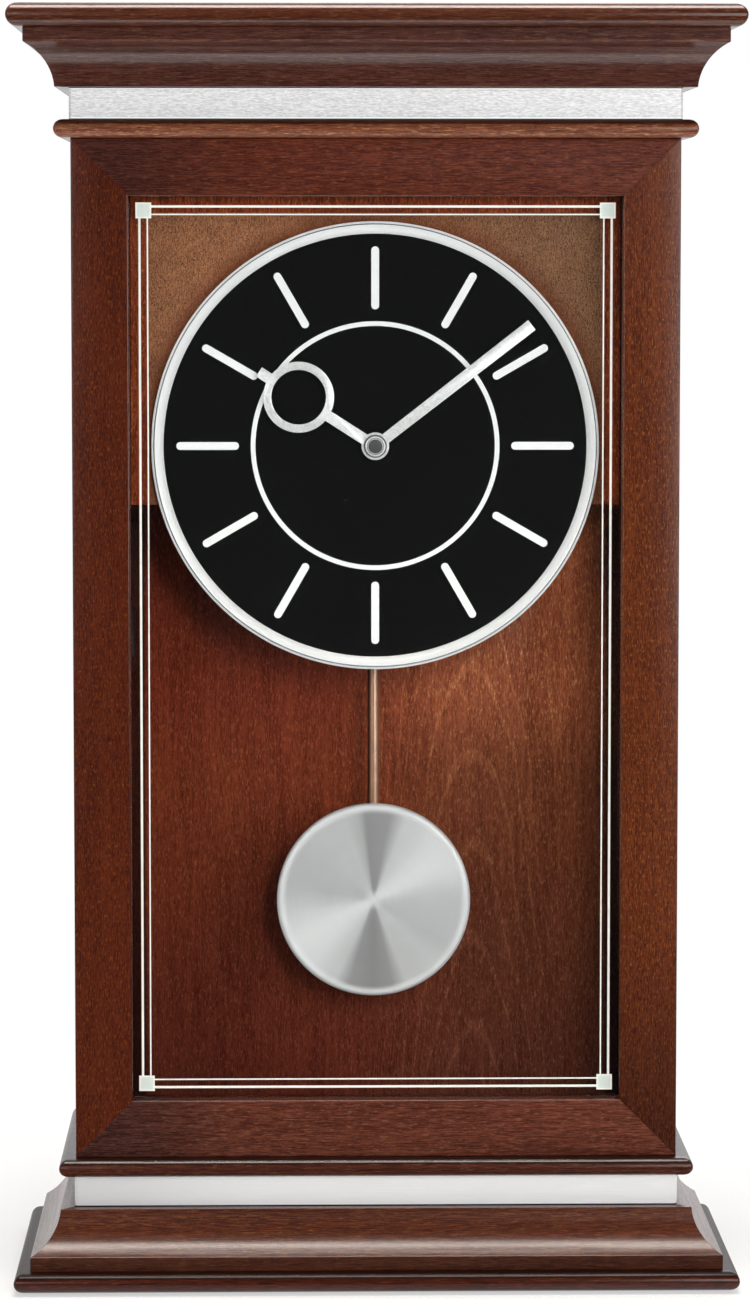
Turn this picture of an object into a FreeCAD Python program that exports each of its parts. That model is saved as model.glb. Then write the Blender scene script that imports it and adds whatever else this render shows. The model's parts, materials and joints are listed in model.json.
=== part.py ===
import FreeCAD, Part
import math
import os

# Desk pendulum clock in a mitred wooden case, millimetres, +Z up.
# The front of the clock faces -Y. The origin is on the table, under the middle of the base board.

Vector = FreeCAD.Vector

# Case: a box of two side panels, closed by the bead boards above and below
case_half_width = 96.0
case_height = 324.0
case_depth = 88.0
side_panel_thickness = 8.0

# Base and cap boards, with a half-round edge at the front and both sides
board_overhang = 19.1
base_board_thickness = 6.2
cap_board_thickness = 7.4
felt_thickness = 0.8
felt_margin = 6.0

# Base and crown mouldings: a flat fascia and a cove, the same section upside down
fascia_overhang = 14.0
fascia_height = 4.5
cove_height = 13.7
cove_overhang = 4.7
cove_hollow = 2.2
moulding_width = 22.0
rear_rail_thickness = 12.0

# Bead boards and the aluminium bands between bead and cove
bead_overhang = 5.2
bead_thickness = 5.8
band_height = 10.0
band_thickness = 0.8
band_proud = 0.4

# Front frame, mitred at its four corners, with a rebate behind for the glass
frame_thickness = 14.0
frame_member_width = 18.2
frame_inner_round = 0.8
frame_outer_round = 0.5
frame_lip_depth = 6.0
rebate_width = 4.0

# Glass pane, its stops, and the border printed on its back
glass_thickness = 2.0
glass_edge_clearance = 0.3
glass_stop_depth = 4.0
print_thickness = 0.1
border_inset = 3.15
border_outer_line = 0.75
border_inner_line = 0.45
border_line_spacing = 2.5
border_square = 5.0

# Dial board behind the glass, its cleats and screws
dial_board_front = 20.0
dial_board_thickness = 6.0
dial_board_height = 116.3
cleat_width = 10.0
cleat_depth = 12.0
cleat_end_gap = 4.0
screw_shank_radius = 1.5
screw_head_radius = 3.0
screw_length = 14.0
screw_end_distance = 14.0
screw_clearance = 0.05

# Dial: black plate, polished bezel, printed circle and batons
dial_centre_below_case_top = 97.4
dial_plate_thickness = 2.0
dial_hole_radius = 3.4
bezel_outer_radius = 71.5
bezel_ledge = 2.2
bezel_outer_rim = 0.7
bezel_groove_width = 0.5
bezel_main_width = 2.9
bezel_main_rise = 2.6
bezel_inner_rise = 0.5
bezel_groove_depth = 1.0
bezel_rim_drop = 0.5
bezel_crown = 0.35
circle_line = 1.5
circle_to_baton = 4.5
baton_to_bezel = 3.9
baton_length = 20.0
baton_width = 2.5
baton_count = 12

# Hands, seen from the front with angles clockwise from twelve
hand_thickness = 0.5
minute_hand_angle = 52.2
minute_hand_to_bezel = 4.4
minute_hand_hub_width = 3.3
minute_hand_tip_width = 3.9
minute_hub_radius = 3.35
hour_hand_angle = 302.6
hour_hand_length = 44.0
hour_hand_bar_width = 3.5
hour_ring_centre = 29.0
hour_ring_outer_radius = 11.3
hour_ring_inner_radius = 8.7
hour_hub_radius = 4.4
hour_hand_above_dial = 2.3
hand_spacing = 1.6
hand_nut_radius = 2.25
hand_nut_height = 0.9

# Arbors through the dial: the minute arbor runs in the hour tube, and that in the threaded post
minute_arbor_radius = 1.6
hour_tube_radius = 2.6
post_radius = 4.0
running_clearance = 0.08
seat_clearance = 0.02
post_hole_clearance = 0.2
mounting_nut_across_flats = 12.0
mounting_nut_height = 2.2
nut_recess_radius = 8.5
nut_recess_depth = 2.6

# Movement: front plate and housing
movement_half_width = 30.0
movement_above_centre = 30.5
movement_below_centre = 44.0
front_plate_thickness = 2.0
housing_depth = 17.0
housing_wall = 1.5
housing_corner_radius = 3.0
battery_floor = 1.5

# Battery, size AA, lying across the top of the housing
battery_radius = 7.1
battery_length = 49.2
battery_tip_radius = 2.7
battery_tip_length = 1.2
battery_bay_clearance = 0.5
contact_thickness = 0.4
contact_width = 9.0

# Motion work: gears that drive the hour wheel, and the setting knob
pressure_angle = math.radians(20.0)
first_module = 0.6
minute_pinion_teeth = 12
intermediate_teeth = 36
intermediate_pinion_teeth = 10
hour_teeth = 40
setting_pinion_teeth = 12
tooth_backlash = 0.16
addendum_share = 0.8
dedendum_share = 1.2
intermediate_direction = math.radians(210.0)
setting_direction = math.radians(240.0)
wheel_thickness = 1.2
pinion_thickness = 1.6
wheel_end_gap = 0.4
stud_radius = 0.9
knob_shaft_radius = 1.5
knob_radius = 7.0
knob_height = 4.6
knob_grooves = 18
knob_groove_radius = 0.5
knob_standoff = 0.4
arbor_pivot_radius = 0.8
bearing_boss_radius = 3.0
bearing_boss_length = 4.25
flank_step = 0.01

# Step motor and circuit board inside the housing
motor_offset_x = 19.0
motor_offset_z = -4.0
motor_core_width = 3.0
motor_core_thickness = 1.2
motor_core_length = 26.0
motor_coil_radius = 4.0
motor_coil_length = 16.0
motor_coil_rise = 1.6
coil_flange_radius = 4.8
coil_flange_thickness = 0.8
stator_eye_radius = 4.5
stator_bore_radius = 2.6
circuit_board_width = 20.0
circuit_board_height = 15.0
circuit_board_thickness = 1.0
circuit_board_offset_x = 17.0
circuit_board_offset_z = -32.0
board_chip_side = 5.0
board_chip_height = 1.0
board_spacer_radius = 1.5
board_spacer_length = 4.5
board_spacer_offset = 5.0

# Pendulum: drive coil, hanger on its pin, magnet, rod and bob
pivot_below_centre = 14.0
hanger_pin_radius = 1.0
hanger_pin_head_radius = 2.0
hanger_pin_head_height = 0.8
hanger_boss_radius = 3.0
hanger_boss_height = 1.2
hanger_gap = 0.3
hanger_thickness = 1.8
hanger_half_width = 4.5
hanger_peg_drop = 30.0
hanger_peg_radius = 1.0
hanger_lip_height = 1.6
hanger_lip_thickness = 0.6
hanger_foot = 4.0
magnet_drop = 20.0
magnet_radius = 4.0
magnet_thickness = 1.2
drive_coil_outer_radius = 7.0
drive_coil_inner_radius = 3.2
drive_coil_thickness = 3.0
rod_radius = 1.95
rod_strip_half_width = 3.5
rod_strip_thickness = 1.2
rod_strip_length = 14.0
rod_eye_clearance = 0.25
rod_strip_gap = 0.3
bob_centre_above_case_bottom = 76.6
bob_radius = 31.7
bob_thickness = 3.5
bob_rim_width = 1.9
bob_rim_drop = 1.1
bob_dish = 0.35
rod_past_bob_centre = 22.0
clip_half_width = 6.0
clip_height = 12.0
clip_wall = 1.4

# Rear door in the back of the case, its hinges, knob and magnetic catch
door_thickness = 4.0
door_gap = 0.5
hinge_leaf_length = 19.0
hinge_leaf_width = 6.0
hinge_leaf_thickness = 0.8
hinge_knuckle_radius = 1.6
hinge_pin_radius = 0.8
hinge_knuckle_gap = 0.3
hinge_end_distance = 45.0
door_knob_radius = 5.0
door_knob_neck_radius = 2.6
door_knob_neck_length = 3.0
door_knob_head_length = 6.0
door_knob_edge_distance = 10.0
catch_width = 9.0
catch_height = 16.0
catch_depth = 9.0
catch_gap = 0.3
catch_plate_radius = 4.0
catch_plate_thickness = 0.8

# Levels above the table
base_board_bottom = felt_thickness
base_board_top = base_board_bottom + base_board_thickness
base_fascia_top = base_board_top + fascia_height
base_cove_top = base_fascia_top + cove_height
lower_band_top = base_cove_top + band_height
case_bottom = lower_band_top + bead_thickness
case_top = case_bottom + case_height
upper_bead_top = case_top + bead_thickness
upper_band_top = upper_bead_top + band_height
crown_cove_top = upper_band_top + cove_height
crown_fascia_top = crown_cove_top + fascia_height
cap_top = crown_fascia_top + cap_board_thickness

# Planes from front to back
rear_y = (case_depth + board_overhang) / 2
front_y = rear_y - case_depth
frame_back_y = front_y + frame_thickness
glass_front_y = front_y + frame_lip_depth
glass_back_y = glass_front_y + glass_thickness
dial_board_front_y = front_y + dial_board_front
dial_board_back_y = dial_board_front_y + dial_board_thickness
dial_face_y = dial_board_front_y - dial_plate_thickness
hour_hand_back_y = dial_face_y - hour_hand_above_dial
minute_hand_back_y = hour_hand_back_y - hand_spacing
housing_front_y = dial_board_back_y + front_plate_thickness
housing_back_y = housing_front_y + housing_depth
housing_inner_back_y = housing_back_y - housing_wall
bearing_boss_front_y = housing_inner_back_y - bearing_boss_length
circuit_board_back_y = housing_inner_back_y - board_spacer_length
hanger_front_y = housing_back_y + hanger_boss_height + hanger_gap
hanger_back_y = hanger_front_y + hanger_thickness
rod_strip_front_y = hanger_back_y + rod_strip_gap
rod_y = rod_strip_front_y + rod_strip_thickness / 2
bob_back_y = rod_y - rod_radius
bob_front_y = bob_back_y - bob_thickness
door_front_y = rear_y - door_thickness

# Widths inside the case and the frame
inner_half_width = case_half_width - side_panel_thickness
opening_half_width = case_half_width - frame_member_width
opening_bottom = case_bottom + frame_member_width
opening_top = case_top - frame_member_width

# Centres and radii of the dial, the movement and the pendulum
dial_z = case_top - dial_centre_below_case_top
pivot_z = dial_z - pivot_below_centre
peg_z = pivot_z - hanger_peg_drop
magnet_z = pivot_z - magnet_drop
bob_z = case_bottom + bob_centre_above_case_bottom
moulding_back_overhang = cove_overhang - moulding_width
dial_plate_radius = bezel_outer_radius - bezel_ledge
dial_face_radius = bezel_outer_radius - bezel_outer_rim - bezel_groove_width - bezel_main_width
baton_outer_radius = dial_face_radius - baton_to_bezel
baton_inner_radius = baton_outer_radius - baton_length
circle_radius = baton_inner_radius - circle_to_baton
minute_hand_length = dial_face_radius - minute_hand_to_bezel

# Gear centres: both pairs of the motion work stand at one centre distance
first_distance = first_module * (minute_pinion_teeth + intermediate_teeth) / 2
second_module = 2 * first_distance / (intermediate_pinion_teeth + hour_teeth)
setting_distance = first_module * (intermediate_teeth + setting_pinion_teeth) / 2
intermediate_x = first_distance * math.cos(intermediate_direction)
intermediate_z = dial_z + first_distance * math.sin(intermediate_direction)
setting_x = intermediate_x + setting_distance * math.cos(setting_direction)
setting_z = intermediate_z + setting_distance * math.sin(setting_direction)
hour_wheel_y = housing_front_y + wheel_end_gap
first_mesh_y = hour_wheel_y + pinion_thickness + wheel_end_gap


def block(x0, x1, y0, y1, z0, z1):
    return Part.makeBox(x1 - x0, y1 - y0, z1 - z0, Vector(x0, y0, z0))


def mirrored_block(x_limit, y0, y1, z0, z1):
    return block(-x_limit, x_limit, y0, y1, z0, z1)


def round_y(x, z, radius, y0, y1):
    """Cylinder along Y between two planes."""
    return Part.makeCylinder(radius, y1 - y0, Vector(x, y0, z), Vector(0, 1, 0))


def ring_y(x, z, outer, inner, y0, y1):
    return round_y(x, z, outer, y0, y1).cut(round_y(x, z, inner, y0, y1))


def round_z(x, y, radius, z0, z1):
    return Part.makeCylinder(radius, z1 - z0, Vector(x, y, z0))


def round_x(y, z, radius, x0, x1):
    return Part.makeCylinder(radius, x1 - x0, Vector(x0, y, z), Vector(1, 0, 0))


def polygon_face(points):
    return Part.Face(Part.makePolygon(points + [points[0]]))


def prism_xz(points, y0, y1):
    """Straight-sided outline in the XZ plane, extruded along Y."""
    face = polygon_face([Vector(x, y0, z) for x, z in points])
    return face.extrude(Vector(0, y1 - y0, 0))


def prism_xy(points, z0, z1):
    face = polygon_face([Vector(x, y, z0) for x, y in points])
    return face.extrude(Vector(0, 0, z1 - z0))


def closed_face(edges):
    return Part.Face(Part.Wire(Part.__sortEdges__(edges)))


def line(a, b):
    return Part.LineSegment(a, b).toShape()


def arc(a, middle, b):
    return Part.Arc(a, middle, b).toShape()


def fuse_all(shapes):
    whole = shapes[0]
    for shape in shapes[1:]:
        whole = whole.fuse(shape)
    return whole.removeSplitter()


def cut_all(shape, tools):
    for tool in tools:
        shape = shape.cut(tool)
    return shape


def mirror_x(shape):
    return shape.mirror(Vector(0, 0, 0), Vector(1, 0, 0))


def edges_within(shape, x0, x1, y0, y1, z0, z1, slack=0.01):
    """Edges whose ends all lie in a box."""
    limits = ((x0, x1), (y0, y1), (z0, z1))

    def inside(point):
        return all(low - slack <= value <= high + slack for value, (low, high) in zip(point, limits))

    return [edge for edge in shape.Edges if all(inside(vertex.Point) for vertex in edge.Vertexes)]


# Boards and mouldings

def edged_board(overhang, z0, z1):
    """Board with a half-round edge at the front and both sides, square at the rear."""
    radius = (z1 - z0) / 2
    middle = (z0 + z1) / 2
    side = case_half_width + overhang
    front = front_y - overhang
    flat_side = side - radius
    flat_front = front + radius
    across = closed_face([
        line(Vector(-flat_side, front, z0), Vector(flat_side, front, z0)),
        arc(Vector(flat_side, front, z0), Vector(side, front, middle), Vector(flat_side, front, z1)),
        line(Vector(flat_side, front, z1), Vector(-flat_side, front, z1)),
        arc(Vector(-flat_side, front, z1), Vector(-side, front, middle), Vector(-flat_side, front, z0)),
    ])
    along = closed_face([
        arc(Vector(-side, flat_front, z0), Vector(-side, front, middle), Vector(-side, flat_front, z1)),
        line(Vector(-side, flat_front, z1), Vector(-side, rear_y, z1)),
        line(Vector(-side, rear_y, z1), Vector(-side, rear_y, z0)),
        line(Vector(-side, rear_y, z0), Vector(-side, flat_front, z0)),
    ])
    return across.extrude(Vector(0, rear_y - front, 0)).common(along.extrude(Vector(2 * side, 0, 0)))


def moulding_section(place, wide_end, wide_start, narrow_end):
    """Fascia and cove as a face. place turns an overhang and a height into a point."""
    back = moulding_back_overhang
    chord = Vector(fascia_overhang - cove_overhang, 0, wide_start - narrow_end)
    inward = abs(chord.z) / chord.Length
    lift = math.copysign(chord.x / chord.Length, wide_start - narrow_end)
    hollow_u = (fascia_overhang + cove_overhang) / 2 - cove_hollow * inward
    hollow_z = (wide_start + narrow_end) / 2 + cove_hollow * lift
    return closed_face([
        line(place(back, wide_end), place(fascia_overhang, wide_end)),
        line(place(fascia_overhang, wide_end), place(fascia_overhang, wide_start)),
        arc(place(fascia_overhang, wide_start), place(hollow_u, hollow_z), place(cove_overhang, narrow_end)),
        line(place(cove_overhang, narrow_end), place(back, narrow_end)),
        line(place(back, narrow_end), place(back, wide_end)),
    ])


def mitre_corner(overhang):
    return case_half_width + overhang, front_y - overhang


def moulding_pieces(wide_end, wide_start, narrow_end):
    """Front, left and right lengths of one moulding, and the plain rail that closes its back."""
    heights = (wide_end, wide_start, narrow_end)
    low, high = min(heights), max(heights)
    outer_x, outer_y = mitre_corner(fascia_overhang)
    inner_x, inner_y = mitre_corner(moulding_back_overhang)
    front_plan = [(-outer_x, outer_y), (outer_x, outer_y), (inner_x, inner_y), (-inner_x, inner_y)]
    right_plan = [(outer_x, outer_y), (outer_x, rear_y), (inner_x, rear_y), (inner_x, inner_y)]
    front_section = moulding_section(lambda u, z: Vector(-outer_x, front_y - u, z), *heights)
    side_section = moulding_section(lambda u, z: Vector(case_half_width + u, outer_y, z), *heights)
    front = front_section.extrude(Vector(2 * outer_x, 0, 0)).common(prism_xy(front_plan, low, high))
    right = side_section.extrude(Vector(0, rear_y - outer_y, 0)).common(prism_xy(right_plan, low, high))
    rail = mirrored_block(inner_x, rear_y - rear_rail_thickness, rear_y, low, high)
    return front, mirror_x(right), right, rail


def plinth_and_band(z0, z1):
    """Plinth board, and the aluminium band bent round its front and sides."""
    outer_x, outer_y = mitre_corner(band_proud)
    inner_x, inner_y = mitre_corner(band_proud - band_thickness)
    plinth = mirrored_block(inner_x, inner_y, rear_y, z0, z1)
    band = mirrored_block(outer_x, outer_y, rear_y, z0, z1).cut(plinth)
    return plinth, band


# Front frame, glass and dial board

def frame_members():
    """Left stile, right stile, top rail and bottom rail, cut from one moulded ring along the mitres."""
    ring = mirrored_block(case_half_width, front_y, frame_back_y, case_bottom, case_top)
    ring = ring.cut(mirrored_block(opening_half_width, front_y, frame_back_y, opening_bottom, opening_top))
    ring = ring.cut(mirrored_block(opening_half_width + rebate_width, glass_front_y, frame_back_y,
                                   opening_bottom - rebate_width, opening_top + rebate_width))
    inner_edges = edges_within(ring, -opening_half_width, opening_half_width, front_y, front_y,
                               opening_bottom, opening_top)
    ring = ring.makeFillet(frame_inner_round, inner_edges)
    outer_edges = [edge for side in (-case_half_width, case_half_width)
                   for edge in edges_within(ring, side, side, front_y, front_y, case_bottom, case_top)]
    ring = ring.makeFillet(frame_outer_round, outer_edges)
    left, right = -case_half_width, case_half_width
    reach = frame_member_width
    left_wedge = [(left, case_bottom), (left, case_top), (left + reach, case_top - reach),
                  (left + reach, case_bottom + reach)]
    top_wedge = [(left, case_top), (right, case_top), (right - reach, case_top - reach),
                 (left + reach, case_top - reach)]
    bottom_wedge = [(left, case_bottom), (right, case_bottom), (right - reach, case_bottom + reach),
                    (left + reach, case_bottom + reach)]
    left_stile = ring.common(prism_xz(left_wedge, front_y, frame_back_y))
    top_rail = ring.common(prism_xz(top_wedge, front_y, frame_back_y))
    bottom_rail = ring.common(prism_xz(bottom_wedge, front_y, frame_back_y))
    return left_stile, mirror_x(left_stile), top_rail, bottom_rail


def glass_pane():
    margin = rebate_width - glass_edge_clearance
    return mirrored_block(opening_half_width + margin, glass_front_y, glass_back_y,
                          opening_bottom - margin, opening_top + margin)


def glass_stops():
    """Four strips in the rebate that hold the pane against the frame's lip."""
    y0, y1 = glass_back_y, glass_back_y + glass_stop_depth
    inner, outer = opening_half_width, opening_half_width + rebate_width
    right = block(inner, outer, y0, y1, opening_bottom - rebate_width, opening_top + rebate_width)
    top = mirrored_block(inner, y0, y1, opening_top, opening_top + rebate_width)
    bottom = mirrored_block(inner, y0, y1, opening_bottom - rebate_width, opening_bottom)
    return Part.makeCompound([right, mirror_x(right), top, bottom])


def glass_border():
    """Two fine printed lines round the pane, with a square at each corner."""
    y0, y1 = glass_back_y, glass_back_y + print_thickness

    def sheet(inset):
        side = opening_half_width - inset
        return mirrored_block(side, y0, y1, opening_bottom + inset, opening_top - inset)

    def line_frame(inset, width):
        return sheet(inset).cut(sheet(inset + width))

    outer_inset = border_inset - border_outer_line / 2
    inner_inset = border_inset + border_line_spacing - border_inner_line / 2
    middle = border_inset + border_line_spacing / 2
    pieces = [line_frame(outer_inset, border_outer_line), line_frame(inner_inset, border_inner_line)]
    half = border_square / 2
    for side in (-1, 1):
        x = side * (opening_half_width - middle)
        for z in (opening_bottom + middle, opening_top - middle):
            pieces.append(block(x - half, x + half, y0, y1, z - half, z + half))
    return fuse_all(pieces)


def dial_board_screw_places():
    x = inner_half_width - cleat_width / 2
    low = case_top - dial_board_height + screw_end_distance
    high = case_top - screw_end_distance
    return [(side * x, z) for side in (-1, 1) for z in (low, high)]


def countersunk_screw(x, z, clearance):
    """Screw from the dial board's front into a cleat, or its hole when clearance is given."""
    head = screw_head_radius + clearance
    shank = screw_shank_radius + clearance
    sink = head - shank
    cone = Part.makeCone(head, shank, sink, Vector(x, dial_board_front_y, z), Vector(0, 1, 0))
    return cone.fuse(round_y(x, z, shank, dial_board_front_y + sink,
                             dial_board_front_y + screw_length + clearance)).removeSplitter()


def dial_board():
    board = mirrored_block(inner_half_width, dial_board_front_y, dial_board_back_y,
                           case_top - dial_board_height, case_top)
    recess = round_y(0, dial_z, nut_recess_radius, dial_board_front_y, dial_board_front_y + nut_recess_depth)
    hole = round_y(0, dial_z, post_radius + post_hole_clearance, dial_board_front_y, dial_board_back_y)
    return cut_all(board, [recess, hole] + [countersunk_screw(x, z, screw_clearance)
                                            for x, z in dial_board_screw_places()])


def dial_cleats():
    """Two cleats glued to the side panels, which the dial board is screwed to."""
    low = case_top - dial_board_height + cleat_end_gap
    right = block(inner_half_width - cleat_width, inner_half_width, dial_board_back_y,
                  dial_board_back_y + cleat_depth, low, case_top - cleat_end_gap)
    pair = [right, mirror_x(right)]
    return Part.makeCompound([cut_all(cleat, [countersunk_screw(x, z, screw_clearance)
                                              for x, z in dial_board_screw_places()]) for cleat in pair])


# Dial and hands

def dial_plate():
    return ring_y(0, dial_z, dial_plate_radius, dial_hole_radius, dial_face_y, dial_board_front_y)


def bezel():
    """Turned ring that holds the dial plate: a polished main ring, a groove and a fine outer rim."""
    main_outer = dial_face_radius + bezel_main_width
    rim_inner = main_outer + bezel_groove_width
    top_y = dial_face_y - bezel_main_rise
    lip_y = dial_face_y - bezel_inner_rise
    groove_y = top_y + bezel_groove_depth
    rim_y = top_y + bezel_rim_drop
    edge_y = rim_y + bezel_outer_rim / 2

    def at(radius, y):
        return Vector(radius, y, dial_z)

    crown = at((dial_face_radius + main_outer) / 2, (lip_y + top_y) / 2 - bezel_crown)
    section = closed_face([
        line(at(dial_face_radius, dial_face_y), at(dial_face_radius, lip_y)),
        arc(at(dial_face_radius, lip_y), crown, at(main_outer, top_y)),
        line(at(main_outer, top_y), at(main_outer, groove_y)),
        line(at(main_outer, groove_y), at(rim_inner, groove_y)),
        line(at(rim_inner, groove_y), at(rim_inner, rim_y)),
        line(at(rim_inner, rim_y), at(bezel_outer_radius, edge_y)),
        line(at(bezel_outer_radius, edge_y), at(bezel_outer_radius, dial_board_front_y)),
        line(at(bezel_outer_radius, dial_board_front_y), at(dial_plate_radius, dial_board_front_y)),
        line(at(dial_plate_radius, dial_board_front_y), at(dial_plate_radius, dial_face_y)),
        line(at(dial_plate_radius, dial_face_y), at(dial_face_radius, dial_face_y)),
    ])
    return section.revolve(Vector(0, 0, dial_z), Vector(0, 1, 0), 360)


def turned_to(shape, degrees):
    """Turn a piece that points at twelve clockwise round the dial's centre, seen from the front."""
    turned = shape.copy()
    turned.rotate(Vector(0, 0, dial_z), Vector(0, 1, 0), degrees)
    return turned


def dial_markings():
    """Printed circle and batons."""
    y0, y1 = dial_face_y - print_thickness, dial_face_y
    half = baton_width / 2
    low = dial_z + baton_inner_radius + half
    high = dial_z + baton_outer_radius - half
    baton = fuse_all([block(-half, half, y0, y1, low, high), round_y(0, low, half, y0, y1),
                      round_y(0, high, half, y0, y1)])
    circle = ring_y(0, dial_z, circle_radius + circle_line / 2, circle_radius - circle_line / 2, y0, y1)
    batons = [turned_to(baton, 360 * i / baton_count) for i in range(baton_count)]
    return Part.makeCompound([circle] + batons)


def minute_hand():
    y0, y1 = minute_hand_back_y - hand_thickness, minute_hand_back_y
    root, tip = minute_hand_hub_width / 2, minute_hand_tip_width / 2
    blade = prism_xz([(-root, dial_z), (root, dial_z), (tip, dial_z + minute_hand_length),
                      (-tip, dial_z + minute_hand_length)], y0, y1)
    hand = fuse_all([blade, round_y(0, dial_z, minute_hub_radius, y0, y1)])
    hand = hand.cut(round_y(0, dial_z, minute_arbor_radius + seat_clearance, y0, y1))
    return turned_to(hand, minute_hand_angle)


def hour_hand():
    """Bar with an open ring along it and a short stub past the ring."""
    y0, y1 = hour_hand_back_y - hand_thickness, hour_hand_back_y
    half = hour_hand_bar_width / 2
    bar = block(-half, half, y0, y1, dial_z, dial_z + hour_hand_length)
    ring_z = dial_z + hour_ring_centre
    hand = fuse_all([bar, round_y(0, ring_z, hour_ring_outer_radius, y0, y1),
                     round_y(0, dial_z, hour_hub_radius, y0, y1)])
    hand = hand.cut(round_y(0, ring_z, hour_ring_inner_radius, y0, y1))
    hand = hand.cut(round_y(0, dial_z, hour_tube_radius + seat_clearance, y0, y1))
    return turned_to(hand, hour_hand_angle)


def hand_nut():
    """Domed nut over the end of the minute arbor."""
    y1 = minute_hand_back_y - hand_thickness
    y0 = y1 - hand_nut_height
    nut = round_y(0, dial_z, hand_nut_radius, y0, y1)
    rim = edges_within(nut, -hand_nut_radius, hand_nut_radius, y0, y0,
                       dial_z - hand_nut_radius, dial_z + hand_nut_radius)
    return nut.makeFillet(hand_nut_height / 2, rim)


# Gears of the motion work

def involute(angle):
    return math.tan(angle) - angle


def gear(teeth, module, x, z, phase, y0, y1):
    """Involute gear along Y. phase is the direction of one tooth in the XZ plane."""
    pitch = teeth * module / 2
    base = pitch * math.cos(pressure_angle)
    root = pitch - dedendum_share * module
    tip = pitch + addendum_share * module
    half_at_pitch = math.pi / (2 * teeth) - tooth_backlash / (2 * pitch)
    radii = [root, max(base, root + flank_step), pitch, tip]
    halves = []
    for radius in radii:
        roll = math.acos(min(1.0, base / radius))
        halves.append(half_at_pitch + involute(pressure_angle) - involute(roll))
    points = []
    for tooth in range(teeth):
        middle = phase + 2 * math.pi * tooth / teeth
        flank = [(radius, middle - half) for radius, half in zip(radii, halves)]
        flank += [(radius, middle + half) for radius, half in zip(reversed(radii), reversed(halves))]
        points += [(x + radius * math.cos(angle), z + radius * math.sin(angle)) for radius, angle in flank]
    return prism_xz(points, y0, y1)


def mating_phase(phase, teeth, direction, mate_teeth):
    """Phase of a gear in that direction whose gap receives the first gear's tooth."""
    return direction + math.pi - (phase - direction) * teeth / mate_teeth + math.pi / mate_teeth


minute_pinion_phase = 0.0
intermediate_phase = mating_phase(minute_pinion_phase, minute_pinion_teeth, intermediate_direction,
                                  intermediate_teeth)
setting_phase = mating_phase(intermediate_phase, intermediate_teeth, setting_direction, setting_pinion_teeth)
intermediate_pinion_phase = 0.0
hour_phase = mating_phase(intermediate_pinion_phase, intermediate_pinion_teeth,
                          intermediate_direction + math.pi, hour_teeth)


def minute_arbor():
    """Arbor with its pinion, from the hand nut back to a pivot in the housing."""
    tip_y = minute_hand_back_y - hand_thickness
    pinion = gear(minute_pinion_teeth, first_module, 0, dial_z, minute_pinion_phase,
                  first_mesh_y, first_mesh_y + pinion_thickness)
    shoulder_y = bearing_boss_front_y - wheel_end_gap
    shaft = round_y(0, dial_z, minute_arbor_radius, tip_y, shoulder_y)
    pivot = round_y(0, dial_z, arbor_pivot_radius, shoulder_y, housing_inner_back_y)
    return fuse_all([shaft, pivot, pinion])


def hour_wheel():
    """Hour wheel on its tube, which carries the hour hand."""
    y0 = hour_hand_back_y - hand_thickness
    y1 = hour_wheel_y + wheel_thickness
    wheel = gear(hour_teeth, second_module, 0, dial_z, hour_phase, hour_wheel_y, y1)
    tube = round_y(0, dial_z, hour_tube_radius, y0, y1)
    bore = round_y(0, dial_z, minute_arbor_radius + running_clearance, y0, y1)
    return fuse_all([wheel, tube]).cut(bore)


def intermediate_wheel():
    """Wheel and pinion in one piece, on a stud of the front plate."""
    wheel = gear(intermediate_teeth, first_module, intermediate_x, intermediate_z, intermediate_phase,
                 first_mesh_y, first_mesh_y + wheel_thickness)
    pinion = gear(intermediate_pinion_teeth, second_module, intermediate_x, intermediate_z,
                  intermediate_pinion_phase, hour_wheel_y, first_mesh_y)
    bore = round_y(intermediate_x, intermediate_z, stud_radius + running_clearance,
                   hour_wheel_y, first_mesh_y + wheel_thickness)
    return fuse_all([wheel, pinion]).cut(bore)


def setting_knob():
    """Knob on the back of the housing, with its shaft and the pinion that turns the intermediate wheel."""
    pinion = gear(setting_pinion_teeth, first_module, setting_x, setting_z, setting_phase,
                  first_mesh_y, first_mesh_y + pinion_thickness)
    knob_front = housing_back_y + knob_standoff
    knob_back = knob_front + knob_height
    shaft = round_y(setting_x, setting_z, knob_shaft_radius, first_mesh_y, knob_front)
    head = round_y(setting_x, setting_z, knob_radius, knob_front, knob_back)
    for i in range(knob_grooves):
        angle = 2 * math.pi * i / knob_grooves
        groove_x = setting_x + knob_radius * math.cos(angle)
        groove_z = setting_z + knob_radius * math.sin(angle)
        head = head.cut(round_y(groove_x, groove_z, knob_groove_radius, knob_front, knob_back))
    return fuse_all([pinion, shaft, head])


# Movement

def movement_outline(y0, y1):
    """Rounded rectangle of the movement."""
    low = dial_z - movement_below_centre
    high = dial_z + movement_above_centre
    body = mirrored_block(movement_half_width, y0, y1, low, high)
    corners = [edge for side in (-movement_half_width, movement_half_width) for z in (low, high)
               for edge in edges_within(body, side, side, y0, y1, z, z)]
    return body.makeFillet(housing_corner_radius, corners)


def movement_front_plate():
    """Plate against the dial board, with the threaded post and the intermediate wheel's stud."""
    plate = movement_outline(dial_board_back_y, housing_front_y)
    post = round_y(0, dial_z, post_radius, dial_board_front_y + seat_clearance, dial_board_back_y)
    stud = round_y(intermediate_x, intermediate_z, stud_radius, housing_front_y,
                   first_mesh_y + wheel_thickness + wheel_end_gap)
    bore = round_y(0, dial_z, hour_tube_radius + running_clearance, dial_board_front_y, housing_front_y)
    return fuse_all([plate, post, stud]).cut(bore)


def battery_z():
    return dial_z + movement_above_centre - housing_wall - battery_bay_clearance - battery_radius


def battery_y():
    return housing_front_y + battery_floor + battery_bay_clearance + battery_radius


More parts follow.
